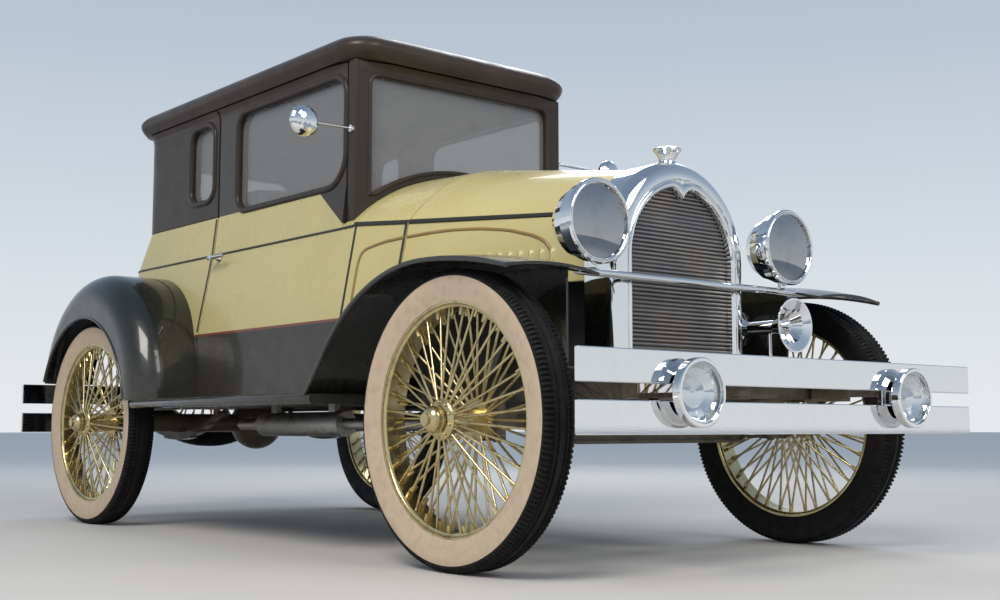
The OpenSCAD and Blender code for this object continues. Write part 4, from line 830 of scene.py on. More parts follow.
def screen_path():
    """Round the windscreen's opening: an arc over the cowl, upright posts and round upper corners."""
    x = np.linspace(-SCREEN_HALF, SCREEN_HALF, 40)
    low = np.stack([x, SCREEN_ARC_Z + np.sqrt(SCREEN_ARC_R**2 - x**2)], -1)
    whole = corner_loop((-SCREEN_HALF, SCREEN_ARC_Z), (SCREEN_HALF, SCREEN_TOP_Z), (SCREEN_CORNER_R,) * 4)
    loop = np.concatenate([low, whole[2 * CORNER_POINTS:]])
    return np.column_stack([loop[:, 0], np.full(len(loop), SCREEN_Y), loop[:, 1]])


# Radiator shell: its front roll, and the step and the lip as distance in from the edge and depth
SHELL_ROLL_R = 0.040
SHELL_STEP = ((0.047, 0.003), (0.050, 0.007))
SHELL_LIP = ((0.068, 0.008), (0.068, 0.024), (0.014, 0.024))
# Inner bead of the shell: its middle's distance in from the edge, half width and height
SHELL_BEAD = (0.0585, 0.0075, 0.006)
# The bead's dip at the top: half width as a sine, power, depth, and the length over which it grows
DIP_HALF = 0.20
DIP_POWER = 1.5
DIP_DEEP = 0.034
DIP_RUN = 0.011
# How far the lip's arch lies below the edge's
LIP_DROP = 0.012


def shell_skin():
    """The radiator shell: a closed section carried up the right side, over the arch and down the left side.
    The inner bead dips to a point at the top."""
    step, face = SHELL_STEP[0]
    lip = SHELL_LIP[0][0]
    roll = np.linspace(0, np.pi / 2, 12)
    front = SHELL_ROLL_R * np.stack([1 - np.cos(roll), 1 - np.sin(roll)], -1) + [0, face]
    middle, half, height = SHELL_BEAD
    turn = np.linspace(0, np.pi, 9)
    bead = np.stack([middle - half * np.cos(turn), height - height * np.sin(turn)], -1)
    deep = SHELL_BACK_Y - RADIATOR_Y
    section = np.concatenate([[[0.0, deep]], front, SHELL_STEP, bead, SHELL_LIP, [[SHELL_LIP[-1][0], deep]]])
    inset, depth = section[:, 0][None], RADIATOR_Y + section[:, 1][None]
    turn = np.linspace(-np.pi / 2, np.pi / 2, 121)[:, None]
    dip = np.clip(1 - np.abs(np.sin(turn)) / DIP_HALF, 0, 1) ** DIP_POWER * DIP_DEEP
    radius = SHELL_R - inset - dip * np.clip((inset - step) / DIP_RUN, 0, 1)
    arch_z = ARCH_Z - LIP_DROP * inset / lip + radius * np.cos(turn)
    arch = np.stack(np.broadcast_arrays(radius * np.sin(turn), depth, arch_z), -1)
    legs = np.linspace(SHELL_LOW_Z, ARCH_Z, 12)[:-1, None]
    right = np.stack(np.broadcast_arrays(inset - SHELL_R, depth, legs), -1)
    return tube(np.concatenate([right, arch, right[::-1] * [-1.0, 1.0, 1.0]]))


# Bar across the shell's foot: half length, place behind the shell's front, height and section
SILL_HALF = 0.220
SILL_BACK = 0.0145
SILL_Z = 0.548
SILL_SECTION = (0.0195, 0.009, 0.006, 5)
# Radiator cap: radius and height
CAP = np.array([
    [0.0, 0.0], [0.0330, 0.0], [0.0325, 0.003], [0.0265, 0.0075], [0.0250, 0.012], [0.0262, 0.019],
    [0.0310, 0.030], [0.0375, 0.039], [0.0415, 0.043], [0.0430, 0.0465], [0.0420, 0.0505],
    [0.0370, 0.0530], [0.0300, 0.0530], [0.0270, 0.0520], [0.0120, 0.0550], [0.0, 0.0555],
])
CAP_PLACE = (0.0, -1.2345, 1.1605)
# Core: half width, which is also its arch's radius, and its face and back behind the shell's front
CORE_HALF = 0.2705
CORE_FACE = 0.0300
CORE_BACK = 0.084
# Ripples of the core: depth, points of one, and the height below the shell's top up to which they are counted
CORE_RIPPLE = 0.0050
RIPPLE_POINTS = 8
CORE_SHORT = 0.020


def core_skin(pitch):
    """The radiator core: an arched block whose face runs in small round ripples from bottom to top."""
    rows = int((SHELL_TOP_Z - CORE_SHORT - SHELL_LOW_Z) / pitch * RIPPLE_POINTS)
    z = np.linspace(SHELL_LOW_Z, ARCH_Z + CORE_HALF, rows)[:, None]
    half = np.sqrt(np.maximum(CORE_HALF**2 - np.maximum(z - ARCH_Z, 0) ** 2, 0))
    ripple = np.abs(np.sin(np.pi * (z - SHELL_LOW_Z) / pitch)) ** 0.7
    face = RADIATOR_Y + CORE_FACE - CORE_RIPPLE * ripple
    front = np.stack(np.broadcast_arrays(np.linspace(-1, 1, 25) * half, face, z), -1)
    back = front[:, ::-1].copy()
    back[..., 1] = RADIATOR_Y + CORE_BACK
    return tube(np.concatenate([front, back], axis=1))


# Lamps: place of the left one, and its lens as radius, back, edge and bow, forwards from that place
HEADLAMP = (0.411, -1.3675, 0.937)
DRIVING_LAMP = (0.457, -1.7125, 0.463)
HEADLAMP_LENS = (0.1035, -0.0076, -0.0060, 0.0110)
DRIVING_LENS = (0.0755, 0.0425, 0.0455, 0.0035)
# Beads of the lamps' rims: lamp, radius, place forwards and size
RIM_BEADS = ((HEADLAMP, 0.1080, -0.0010, 0.0036), (DRIVING_LAMP, 0.0785, 0.0468, 0.0030))


def both(place):
    """A place on the left side and its twin on the right."""
    return [np.array(place), np.array(place) * [-1.0, 1.0, 1.0]]


def lens_skin(centre, radius, back, edge, bow):
    """A lens: flat behind, with a bowed front as part of a sphere; distances run forwards from the centre."""
    share = np.linspace(0, 1, 14)
    front = np.stack([radius * share, edge + bow * (1 - share**2)], -1)
    return turned(np.concatenate([front, [[radius, back], [0.0, back]]]), centre, FORWARD, 64)


# Bead that arches over the hood's side: Y and height of its corners on the cowl and on the hood
COWL_BEAD = ((-0.328, 0.790), (-0.328, 0.915), (-0.340, 0.955), (-0.43, 0.975), (-0.523, 0.982))
HOOD_BEAD = (
    (-0.535, 0.982), (-0.62, 0.988), (-0.70, 0.990), (-0.80, 0.985), (-0.90, 0.972), (-1.00, 0.945),
    (-1.045, 0.918), (-1.062, 0.880), (-1.062, 0.806),
)


def back_path(half, rear, z):
    """From the left door's jamb round the back of the body to the right one at a height, and the outward
    directions."""
    turn = np.linspace(0, np.pi / 2, 16)[:, None]
    side = line((half, JAMB_Y + 0.002), (half, rear - CORNER_R - 0.01), 8)
    corner = np.hstack([half - CORNER_R * (1 - np.cos(turn)), rear - CORNER_R * (1 - np.sin(turn))])
    plan = np.concatenate([side, corner])
    facing = np.concatenate([np.tile([1.0, 0.0], (len(side), 1)), np.hstack([np.cos(turn), np.sin(turn)])])
    plan = np.concatenate([plan, plan[::-1] * [-1, 1]])
    facing = np.concatenate([facing, facing[::-1] * [-1, 1]])
    return np.column_stack([plan, np.full(len(plan), z)]), np.column_stack([facing, np.zeros(len(facing))])


# Cove under the roof's edge: height over its foot and distance out from the wall
COVE_FOOT = 0.0006
COVE = np.array([
    [0.0, -0.002], [0.0, COVE_FOOT], [0.010, 0.0016], [0.018, 0.0042], [0.0255, 0.0088], [0.0312, 0.0155],
    [0.0318, -0.002],
])
COVE_Z = 1.5885
COVE_ROWS = 41
# Coves: start behind the windscreen's frame, half length over it, length of the run-out and its flat end
COVE_START = 0.010
SCREEN_COVE_HALF = 0.452
COVE_RUN_OUT = 0.10
COVE_FLAT = 0.02
# Reach of the coves at the tail and over the windscreen, as shares of the side's
TAIL_REACH = 0.35
SCREEN_REACH = 1.4


def cove_sheet(path, outward, reach):
    """The cove's section carried level along a wall; its hollow runs out flat where the reach falls to
    nothing."""
    foot = np.minimum(COVE[:, 1], COVE_FOOT)
    out = foot + (COVE[:, 1] - foot) * reach[:, None]
    outward = np.broadcast_to(np.asarray(outward, float), path.shape)
    return tube(path[:, None] + COVE[None, :, :1] * UP + out[..., None] * outward[:, None])


def cowl_side(y, z):
    """Half width of the cowl between its front and rear sections."""
    share = (y - COWL_Y) / (DOOR_Y - COWL_Y)
    return (1 - share) * np.interp(z, COWL_SIDE_Z, COWL_SIDE_X) + share * side_x(z)


# Turned trim of a hub: radius and distance out along the axle
HUB_DOME = np.array([
    [0.0335, 0.066], [0.0540, 0.060], [0.0558, 0.062], [0.0558, 0.066], [0.0540, 0.0695],
    [0.0480, 0.0735], [0.0400, 0.0765], [0.0335, 0.0775],
])
LOCK_RING = np.array([
    [0.0335, 0.0785], [0.0385, 0.0785], [0.0395, 0.0795], [0.0395, 0.0865], [0.0385, 0.0875],
    [0.0335, 0.0875],
])
HUB_CAP = np.array([
    [0.0, 0.0865], [0.0340, 0.0870], [0.0352, 0.0900], [0.0348, 0.0960], [0.0325, 0.1030],
    [0.0285, 0.1090], [0.0230, 0.1135], [0.0180, 0.1155], [0.0, 0.1156],
])
HUB_NUT = np.array([[0.0, 0.0800], [0.0020, 0.0797], [0.0036, 0.0782], [0.0044, 0.0755], [0.0044, 0.0700]])
HUB_NUTS = 10
HUB_NUT_RING = 0.0465
# Rings of spokes: hub radius, distance out at the hub and at the rim, turn as a share of the spacing
SPOKE_RINGS = ((0.049, 0.058, 0.014, 0.0), (0.051, -0.052, -0.014, 0.2))
SPOKES = 18
# Each ring has two rows, set apart by shares of the spacing and along the axle
ROW_TURN = 0.25
ROW_OUT = 0.0045
RIM_R = 0.301
# Nipple: distances in from the rim and the radius at each
NIPPLE_REACH = np.array([0.0, 0.012, 0.024])[:, None, None]
NIPPLE_R = np.array([0.0062, 0.0056, 0.0040])[:, None, None]


def hub_parts(centre, axis):
    """Trim of one wheel: a domed hub cover, a locking ring, a cap, domed nuts and the spokes' nipples."""
    sections = ((HUB_DOME, 64), (LOCK_RING, 8), (HUB_CAP, 48))
    parts = [turned(section, centre, axis, count) for section, count in sections]
    sideways = np.cross(axis, UP)
    for high, across in circle(HUB_NUT_RING, HUB_NUTS):
        parts.append(turned(HUB_NUT, centre + high * UP + across * sideways, axis, 10))
    return parts + nipple_parts(centre, axis, sideways)


def nipple_parts(centre, axis, sideways):
    """Six-sided nipples over the outer ends of the radial spokes."""
    hexagon = circle(1.0, 6)
    parts = []
    for hub_r, hub_out, rim_out, turn in SPOKE_RINGS:
        for hand in (-1.0, 1.0):
            angle = (np.arange(SPOKES) + turn + hand * ROW_TURN)[:, None] * 2 * np.pi / SPOKES
            ray = np.cos(angle) * UP - np.sin(angle) * sideways
            start = centre + hub_r * ray + (hub_out + hand * ROW_OUT) * axis
            end = centre + RIM_R * ray + (rim_out + hand * ROW_OUT) * axis
            run = unit(start - end)
            first = unit(np.cross(run, axis))
            second = np.cross(run, first)
            for k in range(SPOKES):
                spread = hexagon[:, :1] * first[k] + hexagon[:, 1:] * second[k]
                parts.append(tube(end[k] + NIPPLE_REACH * run[k] + NIPPLE_R * spread))
    return parts


# Seat pads: low corner, high corner, and the sewn face as axis, sign and the level where its channels start
SEAT_CUSHION = ((-0.405, 0.228, 0.560), (0.405, 0.656, 0.850), (2, 1.0, 0.78))
SEAT_BACK = ((-0.405, 0.668, 0.565), (0.405, 0.795, 1.345), (1, -1.0, 0.72))
PAD_POWER = 0.32
# Cloth run: pressure, steps and how far a point may move
SWELL_FORCE = 4.0
SWELL_STEPS = 20
SWELL_CAP = 0.010
# Sewn channels across the seat: spacing, depth and the length over which they fade in
CHANNEL_PITCH = 0.0675
CHANNEL_DEEP = 0.016
CHANNEL_FADE = 0.05


def pad_skin(low, high):
    """A stuffed pad: a rounded block from powers of sines and cosines."""
    u = np.linspace(-np.pi / 2, np.pi / 2, 64)[:, None]
    v = np.linspace(-np.pi, np.pi, 144, endpoint=False)[None]

    def bent(value):
        return np.sign(value) * np.abs(value) ** PAD_POWER

    x = bent(np.cos(u)) * bent(np.cos(v))
    y = bent(np.cos(u)) * bent(np.sin(v))
    z = bent(np.sin(u)) * np.ones_like(v)
    middle, half = (np.array(low) + high) / 2, (np.array(high) - low) / 2
    return middle + np.stack([x, y, z], -1) * half


def pad_points(mesh):
    """The mesh's points as an array, a row each."""
    points = np.zeros(len(mesh.vertices) * 3)
    mesh.vertices.foreach_get("co", points)
    return points.reshape(-1, 3)


def inflate(made):
    """Swells a pad with a short cloth run under pressure and keeps each point within a cap of its start."""
    start = pad_points(made.data)
    cloth = made.modifiers.new("swell", "CLOTH")
    cloth.settings.use_pressure = True
    cloth.settings.uniform_pressure_force = SWELL_FORCE
    cloth.settings.quality = 4
    cloth.settings.effector_weights.gravity = 0.0
    cloth.collision_settings.use_collision = False
    scene = bpy.context.scene
    for step in range(1, SWELL_STEPS + 1):
        scene.frame_set(step)
    end = pad_points(made.evaluated_get(bpy.context.evaluated_depsgraph_get()).data)
    made.modifiers.remove(cloth)
    scene.frame_set(1)
    move = end - start
    length = np.linalg.norm(move, axis=1, keepdims=True)
    move *= np.minimum(1.0, SWELL_CAP / np.maximum(length, 1e-9))
    made.data.vertices.foreach_set("co", (start + move).ravel())
    made.data.update()


def sew_channels(made, axis, sign, level):
    """Draws sewn channels into one face of a pad: its points sink by a row of narrow round valleys."""
    points = pad_points(made.data)
    valley = np.abs(np.cos(np.pi * points[:, 0] / CHANNEL_PITCH)) ** 0.5
    near = np.clip((sign * (points[:, axis] - level)) / CHANNEL_FADE, 0, 1)
    points[:, axis] -= sign * CHANNEL_DEEP * (1 - valley) * near
    made.data.vertices.foreach_set("co", points.ravel())
    made.data.update()


# Mouldings: heights of the hood's and the belt's, the belt's share of the width, and which way they face
CREASE_H = 0.006
BELT_H = 0.005
BELT_SHARE = 0.55
SIDE_LEAN = (1.0, 0.0, 0.15)
CREASE_LEAN = (0.9, 0.0, 0.43)
# Gaps from a moulding's ends to the edges of the hood and the doors
FRONT_GAP = 0.002
REAR_GAP = 0.003
# Flat edges along the seams: width and height, and for each seam its Y, low end and high end
SEAM_SIZE = (0.012, 0.0022)
SEAMS = (
    (COWL_Y + 0.0075, 0.79, 1.028),
    (DOOR_Y - 0.0085, 0.60, 1.042),
    (JAMB_Y + 0.0075, 0.745, 1.190),
)
# Bead over the hood's side: width and height
BEAD_SIZE = (0.011, 0.0045)


def crease_paths():
    """The left crease as straight lines along the hood and along the cowl."""
    front = (ARCH_R * np.sin(CREASE_ANGLE), HOOD_Y0 + FRONT_GAP, ARCH_Z + ARCH_R * np.cos(CREASE_ANGLE))
    hood = line(front, (CREASE_X, HOOD_Y1 - FRONT_GAP, CREASE_Z), 40)
    cowl = line((CREASE_X, COWL_Y + FRONT_GAP, CREASE_Z), (SIDE_X[2], DOOR_Y - REAR_GAP, SIDE_Z[2]), 40)
    return hood, cowl


def seam_path(y, low, high):
    """Up the left side of the cowl or of the body at one place along the car."""
    z = np.linspace(low, high, 40)
    x = cowl_side(y, z) if y < DOOR_Y else side_x(z)
    return np.column_stack([x, np.full(len(z), y), z])


# Bead round the left rear wheel arch: its middle, radius, ends in degrees and size
WHEEL_ARCH = (0.7985, 1.2025, 0.400)
WHEEL_ARCH_R = 0.4175
WHEEL_ARCH_TURN = (24.5, 168.0)
WHEEL_ARCH_BEAD = 0.0062


def wheel_arch_path():
    """A circle's arc over the left rear wheel."""
    turn = np.radians(np.linspace(*WHEEL_ARCH_TURN, 90))
    return WHEEL_ARCH + WHEEL_ARCH_R * np.column_stack([np.zeros(len(turn)), np.cos(turn), np.sin(turn)])


# Mat on the left running board: edges, foot, the board's top, thickness, ribs and the rows along it
MAT_X = (0.583, 0.786)
MAT_FOOT_Z = 0.4795
BOARD_Z = 0.4803
MAT_THICK = 0.0020
RIB_H = 0.0016
RIBS = 17
RIB_POINTS = 12
MAT_Y = np.array([-0.485, -0.300, 0.0, 0.35, 0.640])


def mat_skin():
    """A mat of round ribs side by side, each a power of a sine, on a flat foot."""
    x = np.linspace(*MAT_X, RIBS * RIB_POINTS)
    wave = np.abs(np.sin(np.pi * (x - x[0]) / (x[-1] - x[0]) * RIBS))
    z = BOARD_Z + MAT_THICK + RIB_H * wave**0.7
    z[[0, -1]] = BOARD_Z
    loop = np.concatenate([np.stack([x, z], -1), [[x[-1], MAT_FOOT_Z], [x[0], MAT_FOOT_Z]]])
    return tube(np.stack(np.broadcast_arrays(loop[None, :, 0], MAT_Y[:, None], loop[None, :, 1]), -1))


# Dials: places across the dashboard, height, and the rim and the face as radius and distance out
DIAL_X = (-0.11, 0.0, 0.11)
DIAL_Z = 1.115
DIAL_RIM = np.array([
    [0.030, -0.002], [0.039, -0.002], [0.040, 0.003], [0.036, 0.007], [0.032, 0.005], [0.030, 0.003],
])
DIAL_FACE = np.array([[0.0, 0.003], [0.030, 0.002], [0.030, -0.001], [0.0, -0.001]])


# Stage

# Floor: half its length, its two greys, its paler colour far away, which is painted light that brightens the
# far floor into the backdrop, and the distances over which it turns to that
FLOOR_HALF = 120.0
FLOOR_GREYS = ((0.57, 0.55, 0.52, 1.0), (0.61, 0.59, 0.56, 1.0))
FLOOR_FAR_LIGHT = (0.96, 0.91, 0.84, 1.0)
FLOOR_FADE = (2.5, 8.0)
# Backdrop: heights and colours at the horizon, between and at the top
HORIZON = (0.0, (0.80, 0.82, 0.84, 1.0))
BETWEEN = ((0.10, (0.70, 0.75, 0.80, 1.0)), (0.40, (0.36, 0.45, 0.57, 1.0)))
TOP = (0.85, (0.20, 0.27, 0.38, 1.0))
# Camera: place, yaw and pitch in degrees, and lens in millimetres
CAMERA_PLACE = (-2.8675, -3.8698, 0.3764)
CAMERA_YAW = 40.0
CAMERA_PITCH = 5.62
CAMERA_LENS = 47.0
# Soft lamps: name, place, aim, size, power and colour
LAMPS = (
    ("key_lamp", (-4.5, -2.5, 5.5), (0.0, 0.0, 0.6), 3.0, 330.0, (1.0, 0.94, 0.86)),
    ("fill_lamp", (0.5, -6.0, 5.0), (0.0, -0.5, 0.6), 3.0, 150.0, (1.0, 0.97, 0.93)),
    ("rear_lamp", (4.5, 3.5, 5.0), (0.0, 0.5, 0.8), 3.0, 120.0, (1.0, 1.0, 1.0)),
)


def add_floor(scene):
    """A wide pale floor with faint clouds, and painted light that makes it paler far away."""
    ends = (-FLOOR_HALF, FLOOR_HALF)
    corners = [(ends[0], ends[0], 0), (ends[1], ends[0], 0), (ends[1], ends[1], 0), (ends[0], ends[1], 0)]
    mesh = bpy.data.meshes.new("floor")
    mesh.from_pydata(corners, [], [(0, 1, 2, 3)])
    recipe = Recipe("studio_floor")
    cloud = recipe.span(recipe.noise(1.2, 6.0), 0.3, 0.7, 0.0, 1.0)
    away = recipe.add("ShaderNodeVectorMath", {0: recipe.place}, operation="LENGTH").outputs["Value"]
    # Painted light: the floor turns paler with distance so that the far floor fades into the backdrop
    far = recipe.span(away, *FLOOR_FADE, 0.0, 1.0)
    recipe.finish(recipe.mix(far, recipe.mix(cloud, *FLOOR_GREYS), FLOOR_FAR_LIGHT), 0.7)
    mesh.materials.append(recipe.material)
    ground = bpy.data.objects.new("studio_floor", mesh)
    scene.collection.objects.link(ground)


def add_backdrop(scene):
    """A pale studio backdrop that deepens from the horizon upwards."""
    world = bpy.data.worlds.new("studio")
    scene.world = world
    world.use_nodes = True
    tree = world.node_tree
    shine = tree.nodes["Background"]
    place = tree.nodes.new("ShaderNodeTexCoord").outputs["Generated"]
    split = tree.nodes.new("ShaderNodeSeparateXYZ")
    tree.links.new(place, split.inputs[0])
    ramp = tree.nodes.new("ShaderNodeValToRGB")
    tree.links.new(split.outputs["Z"], ramp.inputs[0])
    stops = ramp.color_ramp.elements
    stops[0].position, stops[0].color = HORIZON
    stops[1].position, stops[1].color = TOP
    for position, colour in BETWEEN:
        stops.new(position).color = colour
    tree.links.new(ramp.outputs[0], shine.inputs["Color"])
    shine.inputs["Strength"].default_value = 1.0


def add_lamps(scene):
    """Soft square lamps, each turned to its aim."""
    for name, place, aim, size, power, tint in LAMPS:
        lamp = bpy.data.lights.new(name, "AREA")
        lamp.size = size
        lamp.energy = power
        lamp.color = tint
        holder = bpy.data.objects.new(name, lamp)
        holder.location = place
        x, y, z = np.array(aim) - np.array(place)
        holder.rotation_euler = Euler((np.arctan2(np.hypot(x, y), -z), 0, np.arctan2(-x, y)))
        scene.collection.objects.link(holder)


def add_camera(scene):
    """The camera, low in front of the car's right corner."""
    camera = bpy.data.cameras.new("camera")
    camera.lens = CAMERA_LENS
    holder = bpy.data.objects.new("camera", camera)
    holder.location = CAMERA_PLACE
    holder.rotation_euler = Euler((np.pi / 2 + np.radians(CAMERA_PITCH), 0, -np.radians(CAMERA_YAW)))
    scene.collection.objects.link(holder)
    scene.camera = holder


# Operators


class COUPE_OT_finishes(bpy.types.Operator):
    """Makes the materials and puts them on the solids that stay in view"""

    bl_idname = "coupe.finishes"
    bl_label = "Finishes"

    def execute(self, context):
        make_finishes(context.scene.coupe_colours, context.scene.coupe_sizes.core_pitch)
        for finish, nodes in NODE_FINISH.items():
            for name in nodes:
                for holder in NODES[name].material_slots:
                    holder.material = bpy.data.materials[finish]
        for name, width in EASED.items():
            ease_edges(NODES[name], width)
        for name in SMOOTHED:
            smooth_skin(NODES[name])
        return {"FINISHED"}


class COUPE_OT_hood(bpy.types.Operator):
    """Makes the two smooth hood halves with their louvres"""

    bl_idname = "coupe.hood"
    bl_label = "Hood"

    def execute(self, context):
        for side, sign in SIDES:
            # The slot values tell the enamel where to paint shade behind the louvres
            points, slot = hood_skin(sign, context.scene.coupe_sizes.louvre_out)
            skin = piece("hood_skin_" + side, [grid(points)], "cream_enamel", "hood_" + side, "cream_paint",
                         replaces=["hood_" + side], closed=False, sharp=30.0, values=("slot", slot.ravel()))
            wall = skin.modifiers.new("plate", "SOLIDIFY")
            wall.thickness = HOOD_PLATE
            wall.offset = -1.0
        return {"FINISHED"}


class COUPE_OT_roof(bpy.types.Operator):
    """Makes the domed roof with its round edge and the coves below it"""

    bl_idname = "coupe.roof"
    bl_label = "Roof"

    def execute(self, context):
        finish = ("roof_covering", "chassis", "roof_cloth")
        piece("roof_skin", [roof_skin()], *finish, replaces=["roof"], sharp=50.0)
        path, outward = back_path(CABIN_X, CABIN_Y, COVE_Z)
        outward[:, 1] *= TAIL_REACH
        piece("cabin_cove", [cove_sheet(path, outward, np.ones(len(path)))], *finish)
        start = (CABIN_X, SCREEN_BACK_Y + COVE_START, COVE_Z)
        path = line(start, (CABIN_X, DOOR_END_Y - REAR_GAP, COVE_Z), COVE_ROWS)
        reach = np.clip((path[:, 1] - path[0, 1]) / COVE_RUN_OUT, 0.0, 1.0)
        sheet = cove_sheet(path, LEFTWARD, reach)
        side_piece("door_cove", [sheet], "roof_covering", "roof_cloth", "door_")
        path = line((-SCREEN_COVE_HALF, SCREEN_Y, COVE_Z), (SCREEN_COVE_HALF, SCREEN_Y, COVE_Z), COVE_ROWS)
        reach = np.clip((SCREEN_COVE_HALF - np.abs(path[:, 0]) - COVE_FLAT) / COVE_RUN_OUT, 0.0, 1.0)
        sheet = cove_sheet(path, SCREEN_REACH * np.array(FORWARD), reach)
        piece("screen_cove", [sheet], *finish)
        return {"FINISHED"}


class COUPE_OT_tyres(bpy.types.Operator):
    """Makes the five tyres with pale walls and toothed treads"""

    bl_idname = "coupe.tyres"
    bl_label = "Tyres"

    def execute(self, context):
        sizes = context.scene.coupe_sizes
        for node, body, centre, axis in wheel_places():
            points, pale = tyre_skin(centre, axis, sizes.teeth, sizes.tooth_deep)
            sheet = grid(points, wrap_rows=True, wrap_columns=True)
            piece(node + "_tread", [sheet], "tyre_rubber", body, "tyre", replaces=[node], sharp=35.0,
                  values=("wall", pale))
        return {"FINISHED"}


class COUPE_OT_radiator(bpy.types.Operator):
    """Makes the rounded radiator shell, its cap and the rippled core"""

    bl_idname = "coupe.radiator"
    bl_label = "Radiator"

    def execute(self, context):
        sill_y = RADIATOR_Y + SILL_BACK
        path = line((-SILL_HALF, sill_y, SILL_Z), (SILL_HALF, sill_y, SILL_Z), 3)
        sill = swept(path, FORWARD, rounded_loop(*SILL_SECTION))
        case = [shell_skin(), sill, turned(CAP, CAP_PLACE, UP, 64)]
        piece("radiator_case", case, "chrome_plate", "chassis", "chrome", replaces=["radiator_shell"],
              sharp=35.0)
        strips = [core_skin(context.scene.coupe_sizes.core_pitch)]
        piece("radiator_strips", strips, "core_metal", "chassis", "core", replaces=["radiator_core"],
              sharp=60.0)
        return {"FINISHED"}


class COUPE_OT_lamp_glass(bpy.types.Operator):
    """Makes the silvered lenses of the headlamps, the clear ones of the driving lamps and the rims' beads"""

    bl_idname = "coupe.lamp_glass"
    bl_label = "Lamp glass"

    def execute(self, context):
        silvered = [lens_skin(centre, *HEADLAMP_LENS) for centre in both(HEADLAMP)]
        clear = [lens_skin(centre, *DRIVING_LENS) for centre in both(DRIVING_LAMP)]
        beads = []
        for place, radius, reach, size in RIM_BEADS:
            ring = circle(radius, 72)
            loop = np.column_stack([ring[:, 0], np.full(len(ring), -reach), ring[:, 1]])
            for centre in both(place):
                beads.append(swept(centre + loop, FORWARD, circle(size, 10), closed=True))
        for name, lenses, finish in (
            ("headlamp_lenses", silvered, "lens_mirror"), ("driving_lenses", clear, "lamp_glass"),
        ):
            piece(name, lenses, finish, "chassis", "lens", replaces=["lamp_lenses"], sharp=30.0)
        piece("lamp_rim_beads", beads, "chrome_plate", "chassis", "chrome")
        return {"FINISHED"}


class COUPE_OT_mouldings(bpy.types.Operator):
    """Makes the belt moulding round the body and the hood, and the bead that arches over the hood's side"""

    bl_idname = "coupe.mouldings"
    bl_label = "Mouldings"

    def execute(self, context):
        wide = context.scene.coupe_sizes.moulding_w
        enamelled = ("moulding_enamel", "dark_paint")
        belt = half_round(wide * BELT_SHARE, BELT_H)
        x = side_x(BELT_Z)
        path = line((x, DOOR_Y + FRONT_GAP, BELT_Z), (x, DOOR_END_Y - REAR_GAP, BELT_Z), 20)
        side_piece("door_belt", [swept(path, SIDE_LEAN, belt)], *enamelled, "door_")
        path, outward = back_path(x, DECK_Y - 0.0003, BELT_Z)
        piece("tub_belt", [swept(path, outward, belt)], "moulding_enamel", "chassis", "dark_paint")
        hood, cowl = (swept(path, CREASE_LEAN, half_round(wide, CREASE_H)) for path in crease_paths())
        side_piece("hood_crease", [hood], *enamelled, "hood_")
        side_piece("cowl_crease", [cowl], *enamelled, "chassis")
        edges = [swept(seam_path(*seam), SIDE_LEAN, half_round(*SEAM_SIZE)) for seam in SEAMS]
        side_piece("seam_edges", edges, *enamelled, "chassis")
        bead = half_round(*BEAD_SIZE)
        cowl = smooth_path(COWL_BEAD, 60, 4)
        path = np.column_stack([cowl_side(cowl[:, 0], cowl[:, 1]), cowl])
        side_piece("cowl_bead", [swept(path, (1.0, 0.0, 0.2), bead)], "bead_enamel", "brass", "chassis")
        hood = smooth_path(HOOD_BEAD, 120, 5)
        path = hood_point((hood[:, 0] - HOOD_Y0) / (HOOD_Y1 - HOOD_Y0), hood[:, 1])
        side_piece("hood_bead", [swept(path, (1.0, -0.2, 0.2), bead)], "bead_enamel", "brass", "hood_")
        return {"FINISHED"}


class COUPE_OT_surrounds(bpy.types.Operator):
    """Makes the rolled surrounds of the windows and the windscreen"""

    bl_idname = "coupe.surrounds"
    bl_label = "Window surrounds"

    def execute(self, context):
        side_piece("door_surround", side_surround(DOOR_WINDOW), "cabin_enamel", "dark_paint", "door_")
        side_piece("quarter_surround", side_surround(QUARTER_WINDOW), "cabin_enamel", "dark_paint", "chassis")
        loop = corner_loop(*REAR_WINDOW)
        path = np.column_stack([loop[:, 0], np.full(len(loop), CABIN_Y), loop[:, 1]])[::-1]
        rear = swept(path, REARWARD, SURROUND, closed=True)
        screen = swept(screen_path(), FORWARD, SURROUND * SCREEN_ROLL, closed=True)
        piece("rear_surround", [rear], "cabin_enamel", "chassis", "dark_paint")
        piece("screen_surround", [screen], "cabin_enamel", "chassis", "dark_paint")
        return {"FINISHED"}


class COUPE_OT_wheel_trim(bpy.types.Operator):
    """Makes the hub covers, caps, locking rings, nuts and spoke nipples of the five wheels"""

    bl_idname = "coupe.wheel_trim"
    bl_label = "Wheel trim"

    def execute(self, context):
        for node, body, centre, axis in wheel_places():
            name = node.replace("tyre", "wheel_trim")
            piece(name, hub_parts(centre, axis), "brass_plate", body, "brass", sharp=30.0)
        return {"FINISHED"}


class COUPE_OT_fender_edges(bpy.types.Operator):
    """Makes the rolled bead round each rear wheel arch and the ribbed mats on the running boards"""

    bl_idname = "coupe.fender_edges"
    bl_label = "Fender edges and mats"

    def execute(self, context):
        bead = swept(wheel_arch_path(), LEFTWARD, circle(WHEEL_ARCH_BEAD, 10))
        side_piece("rear_arch_bead", [bead], "fender_enamel", "dark_paint", "chassis")
        side_piece("board_mat", [mat_skin()], "floor_matting", "tyre", "chassis", sharp=80.0)
        return {"FINISHED"}


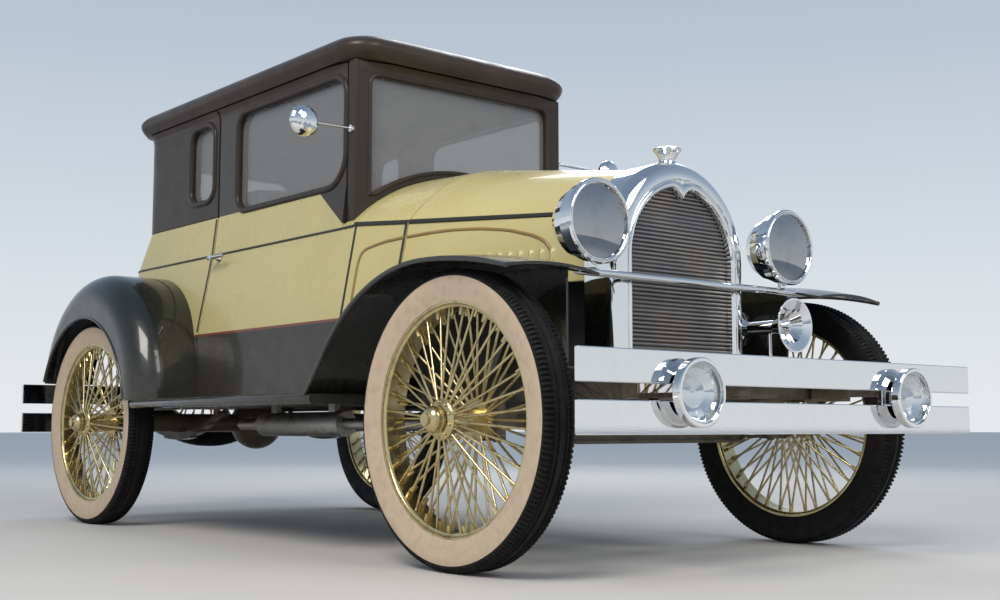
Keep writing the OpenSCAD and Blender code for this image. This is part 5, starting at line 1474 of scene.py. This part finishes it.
class COUPE_OT_seat(bpy.types.Operator):
    """Makes the stuffed seat cushion and back with their sewn channels"""

    bl_idname = "coupe.seat"
    bl_label = "Seat"

    def execute(self, context):
        rows = (("seat_pad", "seat_cushion", SEAT_CUSHION), ("seat_back_pad", "seat_back", SEAT_BACK))
        for name, node, (low, high, face) in rows:
            sheet = grid(pad_skin(low, high), wrap_columns=True)
            pad = piece(name, [sheet], "seat_leather", "chassis", "upholstery", replaces=[node], sharp=180.0)
            inflate(pad)
            sew_channels(pad, *face)
            soften = pad.modifiers.new("soften", "SUBSURF")
            soften.levels = 1
            soften.render_levels = 1
        return {"FINISHED"}


class COUPE_OT_dials(bpy.types.Operator):
    """Makes three plain dials on the dashboard"""

    bl_idname = "coupe.dials"
    bl_label = "Dials"

    def execute(self, context):
        places = [(x, box_face("dashboard", 1, 1), DIAL_Z) for x in DIAL_X]
        rims = [turned(DIAL_RIM, place, REARWARD, 40) for place in places]
        faces = [turned(DIAL_FACE, place, REARWARD, 40) for place in places]
        piece("dial_rims", rims, "chrome_plate", "chassis", "chrome")
        piece("dial_faces", faces, "dial_enamel", "chassis", "cream_paint")
        return {"FINISHED"}


class COUPE_OT_stage(bpy.types.Operator):
    """Sets the floor, the soft lamps, the pale surroundings and the camera"""

    bl_idname = "coupe.stage"
    bl_label = "Stage"

    def execute(self, context):
        add_floor(context.scene)
        add_backdrop(context.scene)
        add_lamps(context.scene)
        add_camera(context.scene)
        context.scene.view_settings.view_transform = "Standard"
        return {"FINISHED"}


class COUPE_PT_panel(bpy.types.Panel):
    """Lists the steps in the sidebar"""

    bl_idname = "COUPE_PT_panel"
    bl_label = "Coupe"
    bl_space_type = "VIEW_3D"
    bl_region_type = "UI"
    bl_category = "Coupe"

    def draw(self, context):
        for step in STEPS:
            self.layout.operator(step.bl_idname)


STEPS = (
    COUPE_OT_stage,
    COUPE_OT_finishes,
    COUPE_OT_hood,
    COUPE_OT_roof,
    COUPE_OT_tyres,
    COUPE_OT_wheel_trim,
    COUPE_OT_radiator,
    COUPE_OT_lamp_glass,
    COUPE_OT_mouldings,
    COUPE_OT_surrounds,
    COUPE_OT_fender_edges,
    COUPE_OT_seat,
    COUPE_OT_dials,
)
CLASSES = (CoupeColours, CoupeSizes) + STEPS + (COUPE_PT_panel,)


def register():
    for entry in CLASSES:
        bpy.utils.register_class(entry)
    bpy.types.Scene.coupe_colours = bpy.props.PointerProperty(type=CoupeColours)
    bpy.types.Scene.coupe_sizes = bpy.props.PointerProperty(type=CoupeSizes)


def unregister():
    del bpy.types.Scene.coupe_sizes
    del bpy.types.Scene.coupe_colours
    for entry in reversed(CLASSES):
        bpy.utils.unregister_class(entry)


def main():
    """Registers the steps and runs every step in order."""
    register()
    for step in STEPS:
        group, name = step.bl_idname.split(".")
        getattr(getattr(bpy.ops, group), name)()


if __name__ == "__main__":
    main()
